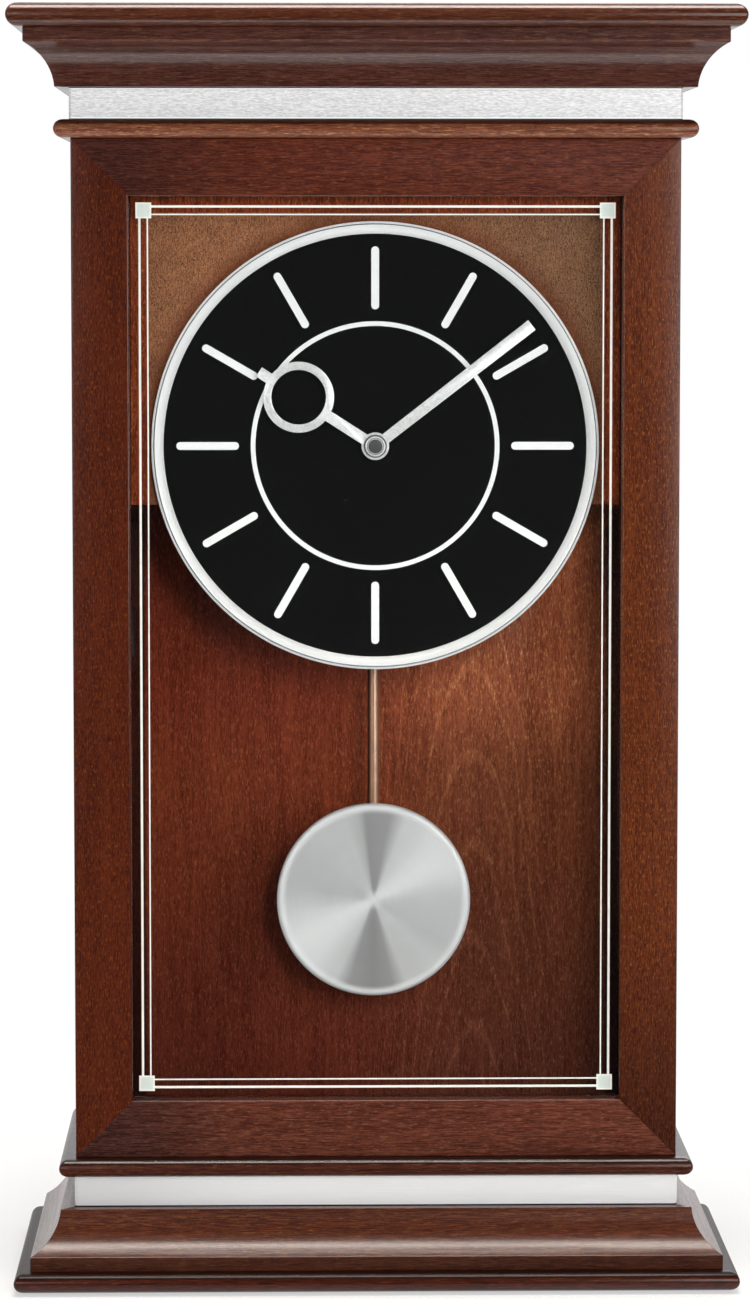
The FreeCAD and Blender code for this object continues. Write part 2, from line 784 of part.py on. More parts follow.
def movement_housing():
    """Moulded housing: a gear chamber open to the front plate, and a battery bay open to the back."""
    bay_bottom = battery_z() - battery_radius - battery_bay_clearance
    inner = movement_half_width - housing_wall
    chamber = mirrored_block(inner, housing_front_y, housing_inner_back_y,
                             dial_z - movement_below_centre + housing_wall, bay_bottom - housing_wall)
    bay = mirrored_block(inner, housing_front_y + battery_floor, housing_back_y,
                         bay_bottom, dial_z + movement_above_centre - housing_wall)
    body = movement_outline(housing_front_y, housing_back_y).cut(chamber).cut(bay)
    arbor_boss = round_y(0, dial_z, bearing_boss_radius, bearing_boss_front_y, housing_inner_back_y)
    hanger_boss = round_y(0, pivot_z, hanger_boss_radius, housing_back_y, housing_back_y + hanger_boss_height)
    spacers = [round_y(circuit_board_offset_x + offset, dial_z + circuit_board_offset_z, board_spacer_radius,
                       circuit_board_back_y, housing_inner_back_y)
               for offset in (-board_spacer_offset, board_spacer_offset)]
    body = fuse_all([body, arbor_boss, hanger_boss] + spacers)
    pivot_hole = arbor_pivot_radius + running_clearance
    shaft_hole = knob_shaft_radius + running_clearance
    holes = [
        round_y(0, dial_z, pivot_hole, bearing_boss_front_y, housing_inner_back_y),
        round_y(setting_x, setting_z, shaft_hole, housing_inner_back_y, housing_back_y),
        round_y(0, pivot_z, hanger_pin_radius, housing_inner_back_y, housing_back_y + hanger_boss_height),
    ]
    return cut_all(body, holes)


def mounting_nut():
    """Hexagonal nut on the threaded post, in the recess behind the dial plate."""
    corner = mounting_nut_across_flats / 2 / math.cos(math.pi / 6)
    directions = [math.pi * i / 3 for i in range(6)]
    points = [(corner * math.cos(angle), dial_z + corner * math.sin(angle)) for angle in directions]
    seat_y = dial_board_front_y + nut_recess_depth
    nut = prism_xz(points, seat_y - mounting_nut_height, seat_y)
    return nut.cut(round_y(0, dial_z, post_radius + seat_clearance, seat_y - mounting_nut_height, seat_y))


def circuit_board():
    x, z = circuit_board_offset_x, dial_z + circuit_board_offset_z
    back = circuit_board_back_y
    front = back - circuit_board_thickness
    plate = block(x - circuit_board_width / 2, x + circuit_board_width / 2, front, back,
                  z - circuit_board_height / 2, z + circuit_board_height / 2)
    half = board_chip_side / 2
    chip = block(x - half, x + half, front - board_chip_height, front, z - half, z + half)
    return fuse_all([plate, chip])


def motor_core():
    """Stator strip against the inside of the housing, with the rotor's eye at its lower end."""
    x, z = motor_offset_x, dial_z + motor_offset_z
    y1 = housing_inner_back_y - coil_flange_radius + motor_core_thickness / 2
    y0 = y1 - motor_core_thickness
    half = motor_core_width / 2
    strip = block(x - half, x + half, y0, y1, z - motor_core_length / 2, z + motor_core_length / 2)
    eye_z = z - motor_core_length / 2
    eye = round_y(x, eye_z, stator_eye_radius, y0, y1)
    return fuse_all([strip, eye]).cut(round_y(x, eye_z, stator_bore_radius, y0, y1))


def motor_coil():
    """Wound bobbin on the stator strip."""
    x, z = motor_offset_x, dial_z + motor_offset_z
    y = housing_inner_back_y - coil_flange_radius
    low = z + motor_coil_rise - motor_coil_length / 2
    high = low + motor_coil_length
    winding = round_z(x, y, motor_coil_radius, low, high)
    lip = coil_flange_thickness / 2
    flanges = [round_z(x, y, coil_flange_radius, end - lip, end + lip) for end in (low, high)]
    half = motor_core_width / 2
    slot = block(x - half, x + half, y - motor_core_thickness / 2, y + motor_core_thickness / 2,
                 low - coil_flange_thickness, high + coil_flange_thickness)
    return fuse_all([winding] + flanges).cut(slot)


def battery():
    half = battery_length / 2
    can = round_x(battery_y(), battery_z(), battery_radius, -half, half)
    tip = round_x(battery_y(), battery_z(), battery_tip_radius, half, half + battery_tip_length)
    return fuse_all([can, tip])


def battery_contacts():
    """Spring strips between the battery's ends and the walls of its bay."""
    wall = movement_half_width - housing_wall
    half = contact_width / 2
    ends = (-battery_length / 2, battery_length / 2 + battery_tip_length)
    strips = []
    for side, end in zip((-1, 1), ends):
        plate_x = sorted((side * wall, side * (wall - contact_thickness)))
        plate = block(plate_x[0], plate_x[1], battery_y() - half, battery_y() + half,
                      battery_z() - half, battery_z() + half)
        touch_x = sorted((side * wall, end))
        button = round_x(battery_y(), battery_z(), battery_tip_radius, touch_x[0], touch_x[1])
        strips.append(fuse_all([plate, button]))
    return Part.makeCompound(strips)


# Pendulum

def pendulum_coil():
    return ring_y(0, magnet_z, drive_coil_outer_radius, drive_coil_inner_radius,
                  housing_inner_back_y - drive_coil_thickness, housing_inner_back_y)


def hanger_pin():
    """Headed pin pressed into the housing, which the hanger swings on."""
    head_y = hanger_back_y + hanger_gap
    shank = round_y(0, pivot_z, hanger_pin_radius, housing_inner_back_y, head_y)
    head = round_y(0, pivot_z, hanger_pin_head_radius, head_y, head_y + hanger_pin_head_height)
    return fuse_all([shank, head])


def pendulum_hanger():
    """Arm with a round head on the pin and a hooked peg for the rod."""
    foot_z = peg_z - hanger_foot
    arm = mirrored_block(hanger_half_width, hanger_front_y, hanger_back_y, foot_z, pivot_z)
    head = round_y(0, pivot_z, hanger_half_width, hanger_front_y, hanger_back_y)
    lip_front = rod_strip_front_y + rod_strip_thickness + rod_strip_gap
    peg = round_y(0, peg_z, hanger_peg_radius, hanger_back_y, lip_front + hanger_lip_thickness)
    lip = mirrored_block(hanger_peg_radius, lip_front, lip_front + hanger_lip_thickness,
                         peg_z, peg_z + hanger_peg_radius + hanger_lip_height)
    bore = round_y(0, pivot_z, hanger_pin_radius + running_clearance, hanger_front_y, hanger_back_y)
    return fuse_all([arm, head, peg, lip]).cut(bore)


def hanger_magnet():
    return round_y(0, magnet_z, magnet_radius, hanger_front_y - magnet_thickness, hanger_front_y)


def pendulum_rod():
    """Round rod whose flattened top hangs by its eye on the hanger's peg."""
    strip_top = peg_z + rod_strip_half_width
    strip_bottom = strip_top - rod_strip_length
    back = rod_strip_front_y + rod_strip_thickness
    strip = mirrored_block(rod_strip_half_width, rod_strip_front_y, back, strip_bottom, strip_top)
    eye = round_y(0, peg_z, hanger_peg_radius + rod_eye_clearance, rod_strip_front_y, back)
    low = bob_z - rod_past_bob_centre
    rod = round_z(0, rod_y, rod_radius, low, strip_bottom + rod_strip_half_width)
    return fuse_all([strip.cut(eye), rod])


def bob():
    """Turned disc with a slightly hollow face and a bevelled, rounded rim."""
    face = bob_radius - bob_rim_width
    shoulder_y = bob_front_y + bob_rim_drop

    def at(radius, y):
        return Vector(radius, y, bob_z)

    bevel_middle = at(face + bob_rim_width * math.sin(math.pi / 4),
                      shoulder_y - bob_rim_drop * math.cos(math.pi / 4))
    section = closed_face([
        line(at(0, bob_back_y), at(0, bob_front_y + bob_dish)),
        arc(at(0, bob_front_y + bob_dish), at(face / 2, bob_front_y + bob_dish / 4), at(face, bob_front_y)),
        arc(at(face, bob_front_y), bevel_middle, at(bob_radius, shoulder_y)),
        line(at(bob_radius, shoulder_y), at(bob_radius, bob_back_y)),
        line(at(bob_radius, bob_back_y), at(0, bob_back_y)),
    ])
    return section.revolve(Vector(0, 0, bob_z), Vector(0, 1, 0), 360)


def bob_clip():
    """Clip on the back of the bob that grips the rod."""
    low, high = bob_z - clip_height / 2, bob_z + clip_height / 2
    body = mirrored_block(clip_half_width, bob_back_y, rod_y + rod_radius + clip_wall, low, high)
    return body.cut(round_z(0, rod_y, rod_radius + seat_clearance, low, high))


# Rear door

hinge_axis_x = inner_half_width
hinge_axis_y = rear_y + hinge_knuckle_radius
hinge_heights = (case_bottom + hinge_end_distance, case_top - hinge_end_distance)


def rear_door():
    side = inner_half_width - door_gap
    return mirrored_block(side, door_front_y, rear_y, case_bottom + door_gap, case_top - door_gap)


def hinge_knuckle(z0, z1, side):
    """One knuckle with its part of the leaf. side is 1 for the case's leaf and -1 for the door's."""
    barrel = round_z(hinge_axis_x, hinge_axis_y, hinge_knuckle_radius, z0, z1)
    leaf_x = sorted((hinge_axis_x, hinge_axis_x + side * hinge_leaf_width))
    tongue = block(leaf_x[0], leaf_x[1], rear_y, rear_y + hinge_leaf_thickness, z0, z1)
    return barrel.fuse(tongue)


def hinge_leaf(z, side):
    """Leaf with one middle knuckle on the door and two outer ones on the case."""
    third = hinge_leaf_length / 3
    low, high = z - hinge_leaf_length / 2, z + hinge_leaf_length / 2
    gap = hinge_knuckle_gap / 2
    if side > 0:
        spans = [(low, low + third - gap), (high - third + gap, high)]
        bore_radius = hinge_pin_radius + seat_clearance
    else:
        spans = [(low + third + gap, high - third - gap)]
        bore_radius = hinge_pin_radius + running_clearance
    knuckles = [hinge_knuckle(z0, z1, side) for z0, z1 in spans]
    inner = hinge_axis_x + side * (hinge_knuckle_radius + hinge_knuckle_gap)
    outer = hinge_axis_x + side * hinge_leaf_width
    plate_x = sorted((inner, outer))
    plate = block(plate_x[0], plate_x[1], rear_y, rear_y + hinge_leaf_thickness, low, high)
    return fuse_all(knuckles + [plate]).cut(round_z(hinge_axis_x, hinge_axis_y, bore_radius, low, high))


def hinge_case_leaves():
    """Leaves on the side panel, and the pins fixed in their knuckles."""
    solids = []
    for z in hinge_heights:
        solids.append(hinge_leaf(z, 1))
        solids.append(round_z(hinge_axis_x, hinge_axis_y, hinge_pin_radius, z - hinge_leaf_length / 2,
                              z + hinge_leaf_length / 2))
    return Part.makeCompound(solids)


def hinge_door_leaves():
    return Part.makeCompound([hinge_leaf(z, -1) for z in hinge_heights])


def door_middle_z():
    return (case_bottom + case_top) / 2


def door_knob():
    """Small turned knob with a rounded head."""
    x, z = -(inner_half_width - door_knob_edge_distance), door_middle_z()
    neck_end = rear_y + door_knob_neck_length
    end = neck_end + door_knob_head_length
    neck = round_y(x, z, door_knob_neck_radius, rear_y, neck_end)
    head = round_y(x, z, door_knob_radius, neck_end, end)
    rim = edges_within(head, x - door_knob_radius, x + door_knob_radius, end, end,
                       z - door_knob_radius, z + door_knob_radius)
    return fuse_all([neck, head.makeFillet(door_knob_head_length / 2, rim)])


def catch_plate():
    x = -(inner_half_width - catch_width / 2)
    y0 = door_front_y - catch_plate_thickness
    return round_y(x, door_middle_z(), catch_plate_radius, y0, door_front_y)


def door_catch():
    """Magnetic catch glued to the side panel."""
    y1 = door_front_y - catch_plate_thickness - catch_gap
    return block(-inner_half_width, -inner_half_width + catch_width, y1 - catch_depth, y1,
                 door_middle_z() - catch_height / 2, door_middle_z() + catch_height / 2)


# All pieces under their names

def all_pieces():
    felt_side = case_half_width + board_overhang - felt_margin
    felt_front = front_y - board_overhang + felt_margin
    pieces = {
        "base_felt": mirrored_block(felt_side, felt_front, rear_y - felt_margin, 0, base_board_bottom),
        "base_board": edged_board(board_overhang, base_board_bottom, base_board_top),
        "lower_bead_board": edged_board(bead_overhang, lower_band_top, case_bottom),
        "upper_bead_board": edged_board(bead_overhang, case_top, upper_bead_top),
        "cap_board": edged_board(board_overhang, crown_fascia_top, cap_top),
    }
    base = moulding_pieces(base_board_top, base_fascia_top, base_cove_top)
    crown = moulding_pieces(crown_fascia_top, crown_cove_top, upper_band_top)
    moulding_names = ("moulding_front", "moulding_left", "moulding_right", "rear_rail")
    for place, set_of_four in (("base", base), ("crown", crown)):
        for name, shape in zip(moulding_names, set_of_four):
            pieces[place + "_" + name] = shape
    pieces["lower_plinth"], pieces["lower_band"] = plinth_and_band(base_cove_top, lower_band_top)
    pieces["upper_plinth"], pieces["upper_band"] = plinth_and_band(upper_bead_top, upper_band_top)
    right_panel = block(inner_half_width, case_half_width, frame_back_y, rear_y, case_bottom, case_top)
    pieces["side_panel_right"] = right_panel
    pieces["side_panel_left"] = mirror_x(right_panel)
    frame_names = ("frame_stile_left", "frame_stile_right", "frame_rail_top", "frame_rail_bottom")
    for name, shape in zip(frame_names, frame_members()):
        pieces[name] = shape
    pieces["glass_pane"] = glass_pane()
    pieces["glass_border"] = glass_border()
    pieces["glass_stops"] = glass_stops()
    pieces["dial_board"] = dial_board()
    pieces["dial_cleats"] = dial_cleats()
    pieces["dial_board_screws"] = Part.makeCompound([countersunk_screw(x, z, 0.0)
                                                     for x, z in dial_board_screw_places()])
    pieces["dial_plate"] = dial_plate()
    pieces["bezel"] = bezel()
    pieces["dial_markings"] = dial_markings()
    pieces["hour_hand"] = hour_hand()
    pieces["minute_hand"] = minute_hand()
    pieces["hand_nut"] = hand_nut()
    pieces["movement_front_plate"] = movement_front_plate()
    pieces["movement_housing"] = movement_housing()
    pieces["mounting_nut"] = mounting_nut()
    pieces["circuit_board"] = circuit_board()
    pieces["motor_core"] = motor_core()
    pieces["motor_coil"] = motor_coil()
    pieces["minute_arbor"] = minute_arbor()
    pieces["hour_wheel"] = hour_wheel()
    pieces["intermediate_wheel"] = intermediate_wheel()
    pieces["setting_knob"] = setting_knob()
    pieces["battery"] = battery()
    pieces["battery_contacts"] = battery_contacts()
    pieces["pendulum_coil"] = pendulum_coil()
    pieces["hanger_pin"] = hanger_pin()
    pieces["pendulum_hanger"] = pendulum_hanger()
    pieces["hanger_magnet"] = hanger_magnet()
    pieces["pendulum_rod"] = pendulum_rod()
    pieces["bob"] = bob()
    pieces["bob_clip"] = bob_clip()
    pieces["rear_door"] = rear_door()
    pieces["hinge_case_leaves"] = hinge_case_leaves()
    pieces["hinge_door_leaves"] = hinge_door_leaves()
    pieces["door_knob"] = door_knob()
    pieces["door_catch"] = door_catch()
    pieces["catch_plate"] = catch_plate()
    return pieces


os.makedirs("parts", exist_ok=True)
for piece_name, piece_shape in all_pieces().items():
    piece_shape.exportStep("parts/" + piece_name + ".step")
    print(piece_name, len(piece_shape.Solids), round(piece_shape.Volume, 1), piece_shape.isValid())
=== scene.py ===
"""Desk pendulum clock.

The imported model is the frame. This script gives it finished surfaces, light and a camera.
"""

import json
import math
from functools import partial

import bmesh
import bpy
from bpy.props import FloatProperty, FloatVectorProperty, IntProperty, PointerProperty
from mathutils import Matrix, Vector


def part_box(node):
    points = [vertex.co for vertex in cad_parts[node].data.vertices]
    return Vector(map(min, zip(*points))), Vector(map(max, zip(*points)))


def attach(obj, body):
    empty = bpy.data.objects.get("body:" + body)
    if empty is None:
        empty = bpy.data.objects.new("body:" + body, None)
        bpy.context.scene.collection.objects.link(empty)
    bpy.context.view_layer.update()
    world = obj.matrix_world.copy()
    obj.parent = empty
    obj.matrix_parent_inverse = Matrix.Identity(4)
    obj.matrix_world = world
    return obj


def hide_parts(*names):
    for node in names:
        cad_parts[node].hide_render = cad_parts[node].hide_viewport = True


bl_info = {
    "name": "Desk pendulum clock",
    "version": (1, 0, 0),
    "blender": (4, 5, 0),
    "location": "3D View > Sidebar > Clock",
    "description": "Finishes, light and camera for the packed model of a desk pendulum clock",
    "category": "Object",
}

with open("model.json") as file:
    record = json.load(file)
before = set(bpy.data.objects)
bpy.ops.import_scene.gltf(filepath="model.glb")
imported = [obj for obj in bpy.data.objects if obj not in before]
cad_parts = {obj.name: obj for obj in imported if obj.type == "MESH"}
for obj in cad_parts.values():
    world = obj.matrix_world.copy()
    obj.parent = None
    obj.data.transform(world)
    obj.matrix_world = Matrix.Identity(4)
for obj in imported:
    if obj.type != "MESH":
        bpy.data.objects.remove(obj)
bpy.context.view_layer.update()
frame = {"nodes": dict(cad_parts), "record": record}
BODIES = frame["record"]["behaviour"]["bodies"]
BODY_OF = {node: body for body, nodes in BODIES.items() for node in nodes}

MM = 0.001


def low(node):
    """Lowest corner of a node at rest."""
    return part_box(node)[0]


def high(node):
    """Highest corner of a node at rest."""
    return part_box(node)[1]


# Planes and centres taken from the frame
CASE_SIDE = high("side_panel_right").x
CASE_FRONT = low("frame_rail_top").y
CASE_REAR = high("side_panel_right").y
FRAME_BACK = high("frame_rail_top").y
GLASS_FRONT = low("glass_pane").y
DIAL_Z = (low("bezel").z + high("bezel").z) / 2
DIAL_BOARD_FRONT = low("dial_board").y
BOB_Z = (low("bob").z + high("bob").z) / 2

# Section of the base and crown mouldings
FASCIA_HEIGHT = 4.5 * MM
COVE_OVERHANG = 4.7 * MM
COVE_HOLLOW = 2.2 * MM

# Section of the front frame
INNER_ROUND = 0.8 * MM
OUTER_ROUND = 0.5 * MM
REBATE_WIDTH = 4.0 * MM

# Section of the bezel, heights above the dial board
BEZEL_RIM = 0.7 * MM
BEZEL_GROOVE = 0.35 * MM
BEZEL_MAIN = 2.9 * MM
BEZEL_LEDGE = 2.2 * MM
PLATE_HEIGHT = 2.0 * MM
LIP_HEIGHT = 2.5 * MM
GROOVE_HEIGHT = 2.6 * MM
RIM_HEIGHT = 4.1 * MM
BEZEL_CROWN = 0.35 * MM

# Section of the bob
BOB_RIM_WIDTH = 1.9 * MM
BOB_RIM_DROP = 1.1 * MM
BOB_DISH = 0.35 * MM

# Mesh settings: edges up to the first angle are shaded smooth, edges over the second are broken
SMOOTH_UP_TO = math.radians(32)
BROKEN_OVER = math.radians(35)
EDGE_SEGMENTS = 2

# Colours of small parts, and of light
ZINC = (0.62, 0.62, 0.64)
STEEL = (0.55, 0.55, 0.57)
NICKEL = (0.70, 0.68, 0.64)
SINTERED = (0.22, 0.22, 0.23)
DARK_PLATING = (0.16, 0.16, 0.165)
IVORY_PLASTIC = (0.80, 0.79, 0.74)
BLACK_PLASTIC = (0.022, 0.022, 0.024)
CATCH_PLASTIC = (0.012, 0.006, 0.004)
# painted shadow line along the edges of the aluminium bands
PAINTED_EDGE_SHADOW = (0.012, 0.010, 0.010)
WHITE = (1.0, 1.0, 1.0)
DIM = (0.02, 0.02, 0.02)
WARM_WHITE = (1.0, 0.93, 0.85)

# Painted sheen of the bob round its centre, standing in for its radial reflections: share of a turn from its
# foot, and brightness
PAINTED_BOB_SHEEN = (
    (0.00, 0.50), (0.045, 0.56), (0.07, 0.92), (0.12, 1.0), (0.22, 1.0), (0.28, 0.84), (0.34, 0.86),
    (0.40, 0.96), (0.445, 1.0), (0.47, 0.86), (0.485, 0.56), (0.53, 0.58), (0.56, 0.96), (0.60, 1.0),
    (0.69, 1.0), (0.75, 0.90), (0.84, 0.88), (0.88, 1.0), (0.94, 1.0), (0.965, 0.60), (1.00, 0.50),
)


# Settings that a user would change

class WoodSettings(bpy.types.PropertyGroup):
    """Stain, lacquer and edges of the wooden case"""

    stain: FloatVectorProperty(
        name="Stain", description="Mean colour of the stained walnut",
        subtype="COLOR", size=3, min=0.0, max=1.0, default=(0.063, 0.0140, 0.0061))
    panel_stain: FloatVectorProperty(
        name="Door stain", description="Mean colour of the rear door's veneer",
        subtype="COLOR", size=3, min=0.0, max=1.0, default=(0.225, 0.048, 0.0175))
    dial_veneer: FloatVectorProperty(
        name="Dial veneer", description="Mean colour of the lighter veneer round the dial",
        subtype="COLOR", size=3, min=0.0, max=1.0, default=(0.275, 0.110, 0.050))
    lacquer: FloatProperty(
        name="Lacquer roughness", description="Roughness of the satin lacquer",
        min=0.05, max=0.8, default=0.17)
    edge: FloatProperty(
        name="Edge", description="Width of the sanded edge of flat boards",
        subtype="DISTANCE", unit="LENGTH", min=0.0, max=0.002, default=0.0003)
    mitre: FloatProperty(
        name="Mitre groove", description="Width of the fine groove along a mitre",
        subtype="DISTANCE", unit="LENGTH", min=0.0, max=0.0005, default=0.00009)


class MetalSettings(bpy.types.PropertyGroup):
    """Aluminium, brass and plated parts"""

    aluminium: FloatVectorProperty(
        name="Aluminium", description="Colour of the bands, bezel, hands and bob",
        subtype="COLOR", size=3, min=0.0, max=1.0, default=(0.90, 0.90, 0.905))
    brass: FloatVectorProperty(
        name="Brass", description="Colour of the hinges and the door knob",
        subtype="COLOR", size=3, min=0.0, max=1.0, default=(0.80, 0.58, 0.26))
    rod: FloatVectorProperty(
        name="Rod", description="Colour of the pendulum rod",
        subtype="COLOR", size=3, min=0.0, max=1.0, default=(0.42, 0.21, 0.13))
    turning_segments: IntProperty(
        name="Turning segments", description="Segments round a turned part",
        min=32, max=512, default=192)


class DialSettings(bpy.types.PropertyGroup):
    """Dial plate, print and hands"""

    plate: FloatVectorProperty(
        name="Plate", description="Colour of the gloss dial plate",
        subtype="COLOR", size=3, min=0.0, max=1.0, default=(0.0048, 0.0048, 0.0050))
    print_white: FloatVectorProperty(
        name="Print", description="Colour of the printed batons and circle",
        subtype="COLOR", size=3, min=0.0, max=1.0, default=(0.95, 0.95, 0.95))
    hand_edge: FloatProperty(
        name="Hand edge", description="Width of the broken edge of the hands",
        subtype="DISTANCE", unit="LENGTH", min=0.0, max=0.0002, default=0.00008)


class StageSettings(bpy.types.PropertyGroup):
    """Camera, lamps and floor"""

    lens: FloatProperty(
        name="Lens", description="Focal length on a 36 mm sensor",
        subtype="DISTANCE_CAMERA", min=20.0, max=300.0, default=129.0)
    camera_place: FloatVectorProperty(
        name="Camera", description="Place of the camera",
        subtype="XYZ", unit="LENGTH", size=3, default=(-0.02865, -1.50391, 0.33106))
    camera_pitch: FloatProperty(
        name="Pitch", description="Angle of the camera below the horizon",
        subtype="ANGLE", unit="ROTATION", default=0.086366)
    camera_yaw: FloatProperty(
        name="Yaw", description="Angle of the camera to the right",
        subtype="ANGLE", unit="ROTATION", default=0.019229)
    key_watts: FloatProperty(
        name="Key lamp", description="Power of the large lamp at the right",
        subtype="POWER", unit="POWER", min=0.0, default=7.5)
    fill_watts: FloatProperty(
        name="Fill lamp", description="Power of the lamp at the left",
        subtype="POWER", unit="POWER", min=0.0, default=4.0)
    front_watts: FloatProperty(
        name="Front lamp", description="Power of the even light from the front",
        subtype="POWER", unit="POWER", min=0.0, default=9.0)
    card_watts: FloatProperty(
        name="Card", description="Power of the light that the white card before the clock sends up",
        subtype="POWER", unit="POWER", min=0.0, default=0.38)
    top_watts: FloatProperty(
        name="Top lamp", description="Power of the lamp above the clock",
        subtype="POWER", unit="POWER", min=0.0, default=18.0)
    back_watts: FloatProperty(
        name="Back lamp", description="Power of the lamp behind the clock",
        subtype="POWER", unit="POWER", min=0.0, default=14.0)
    ambient: FloatProperty(
        name="Ambient", description="Brightness of the even light from all round",
        min=0.0, max=2.0, default=0.32)


# Shader expressions

class Wire:
    """A shader socket. Arithmetic on it adds Math nodes, and node() adds any other node."""

    def __init__(self, tree, socket=None):
        self.tree = tree
        self.socket = socket

    def node(self, kind, settings=None, sockets=None, output=0):
        """Add a node, set its settings and then its sockets, and give back one of its outputs."""
        made = self.tree.nodes.new(kind)
        for key, value in (settings or {}).items():
            if key == "stops":
                while len(made.color_ramp.elements) < len(value):
                    made.color_ramp.elements.new(0.5)
                for element, (place, colour) in zip(made.color_ramp.elements, value):
                    element.position = place
                    element.color = (*colour, 1.0)
            else:
                setattr(made, key, value)
        for key, value in (sockets or {}).items():
            socket = made.inputs[key]
            if isinstance(value, Wire):
                self.tree.links.new(value.socket, socket)
            elif socket.type == "RGBA":
                socket.default_value = (*tuple(value)[:3], 1.0)
            else:
                socket.default_value = value
        if not made.outputs:
            return None
        return Wire(self.tree, made.outputs[output])

    def maths(self, operation, *values):
        """Add a Math node."""
        return self.node("ShaderNodeMath", {"operation": operation}, dict(enumerate(values)))

    def __add__(self, other):
        return self.maths("ADD", self, other)

    __radd__ = __add__

    def __sub__(self, other):
        return self.maths("SUBTRACT", self, other)

    def __rsub__(self, other):
        return self.maths("SUBTRACT", other, self)

    def __mul__(self, other):
        return self.maths("MULTIPLY", self, other)

    __rmul__ = __mul__

    def __truediv__(self, other):
        return self.maths("DIVIDE", self, other)

    def __rtruediv__(self, other):
        return self.maths("DIVIDE", other, self)

    def __pow__(self, other):
        return self.maths("POWER", self, other)

    def __abs__(self):
        return self.maths("ABSOLUTE", self)

    def step(self, start, end):
        """0 below start, 1 above end and smooth between; the other way round where end is lower."""
        return self.node("ShaderNodeMapRange", {"interpolation_type": "SMOOTHSTEP"},
                         {"Value": self, "From Min": start, "From Max": end})

    def place(self):
        """Object coordinates, in metres."""
        return self.node("ShaderNodeTexCoord", None, None, "Object")

    def axes(self, names):
        """Object coordinates as values, in the order of their names."""
        parts = self.node("ShaderNodeSeparateXYZ", None, {0: self.place()})
        outputs = parts.socket.node.outputs
        return [Wire(self.tree, outputs[name]) for name in names]

    def axis(self, name):
        """One object coordinate as a value."""
        return self.axes(name)[0]

    def noise(self, sizes, seed=0.0, detail=2.0, roughness=0.5, twist=0.0):
        """Noise whose features have these sizes along X, Y and Z, in millimetres."""
        scale = [1 / (size * MM) for size in sizes]
        shift = (seed * 7.3, seed * 3.1, seed * 5.7)
        placed = self.node("ShaderNodeMapping", None, {
            "Vector": self.place(), "Location": shift, "Scale": scale})
        return self.node("ShaderNodeTexNoise", None, {
            "Vector": placed, "Scale": 1.0, "Detail": detail, "Roughness": roughness, "Distortion": twist})

    def cells(self, size, seed=0.0):
        """Distance to the nearest point of a random scatter, in sizes of a cell."""
        placed = self.node("ShaderNodeMapping", None, {
            "Vector": self.place(), "Location": (seed, seed, seed), "Scale": (1 / (size * MM),) * 3})
        return self.node("ShaderNodeTexVoronoi", None, {"Vector": placed, "Scale": 1.0})

    def mix(self, share, first, second):
        """Colour between two colours."""
        return self.node("ShaderNodeMix", {"data_type": "RGBA"}, {0: share, 6: first, 7: second}, 2)

    def tint(self, share, first, second):
        """Product of two colours."""
        return self.node("ShaderNodeMix", {"data_type": "RGBA", "blend_type": "MULTIPLY"},
                         {0: share, 6: first, 7: second}, 2)

    def bump(self, height, depth, strength=1.0):
        """Normal of a surface raised by height times depth, in millimetres."""
        return self.node("ShaderNodeBump", None, {
            "Height": height, "Distance": depth * MM, "Strength": strength})


def finish(name, build):
    """Material under this name. build gives its shader, or the sockets of a Principled one."""
    made = bpy.data.materials.get(name)
    if made is None:
        made = bpy.data.materials.new(name)
        made.use_nodes = True
        made.node_tree.nodes.clear()
        start = Wire(made.node_tree)
        shader = build(start)
        if isinstance(shader, dict):
            shader = start.node("ShaderNodeBsdfPrincipled", None, shader)
        start.node("ShaderNodeOutputMaterial", None, {"Surface": shader})
    return made


def toned(colour, *factors):
    """A colour times one factor, or times one factor for each channel."""
    if len(factors) == 1:
        factors = factors * 3
    return tuple(channel * factor for channel, factor in zip(colour, factors))


def tint_where(mask, sockets, tone, start):
    """Multiply the base colour by a tone where the mask is 1."""
    sockets["Base Color"] = start.tint(mask, sockets["Base Color"], tone)


def distance(first, second):
    """Length of a line whose two parts stand square to each other."""
    return (first * first + second * second) ** 0.5


# Wood finishes

def with_grain(grain, across, along):
    """Feature sizes for noise that runs along the grain axis."""
    sizes = [across, across, across]
    sizes["XYZ".index(grain)] = along
    return sizes


def walnut(grain, seed, stain, lacquer, start, length=1.0, fleck=0.5, contrast=1.0):
    """Stained walnut: broad figure, streaks, a fine mesh of fibres and golden flecks under satin lacquer."""
    figure = start.noise(with_grain(grain, 11, 70 * length), seed, 3, 0.55, 0.4)
    streak = start.noise(with_grain(grain, 1.6, 26 * length), seed + 1, 3, 0.6)
    fibre = start.noise(with_grain(grain, 0.32, 2.8 * length), seed + 2, 2, 0.6)
    mesh = start.noise(with_grain(grain, 0.38, 0.90), seed + 5, 1)
    pore = start.noise(with_grain(grain, 0.32, 2.4 * length), seed + 3, 1).step(0.62, 0.72)
    glint = start.noise(with_grain(grain, 0.42, 1.5 * length), seed + 4, 1).step(0.58, 0.70)
    broad = 0.45 + 0.7 * (figure - 0.5) + 1.1 * (streak - 0.5)
    shade = broad + contrast * (3.4 * (fibre - 0.5) + 1.0 * (mesh - 0.5))
    colour = start.mix(shade, toned(stain, 0.55, 0.44, 0.42), toned(stain, 1.42, 1.52, 1.54))
    colour = start.mix(pore * 0.3, colour, toned(stain, 0.38, 0.30, 0.30))
    colour = start.mix(glint * fleck, colour, toned(stain, 2.6, 4.6, 4.2))
    return {
        "Base Color": colour,
        "Roughness": 0.5 + 0.12 * (streak - 0.5),
        "Specular IOR Level": 0.06,
        "Coat Weight": 0.85 + 0.5 * (streak - 0.5) - 0.3 * pore,
        "Coat Roughness": lacquer,
        "Normal": start.bump(fibre, 0.02, 0.4),
    }


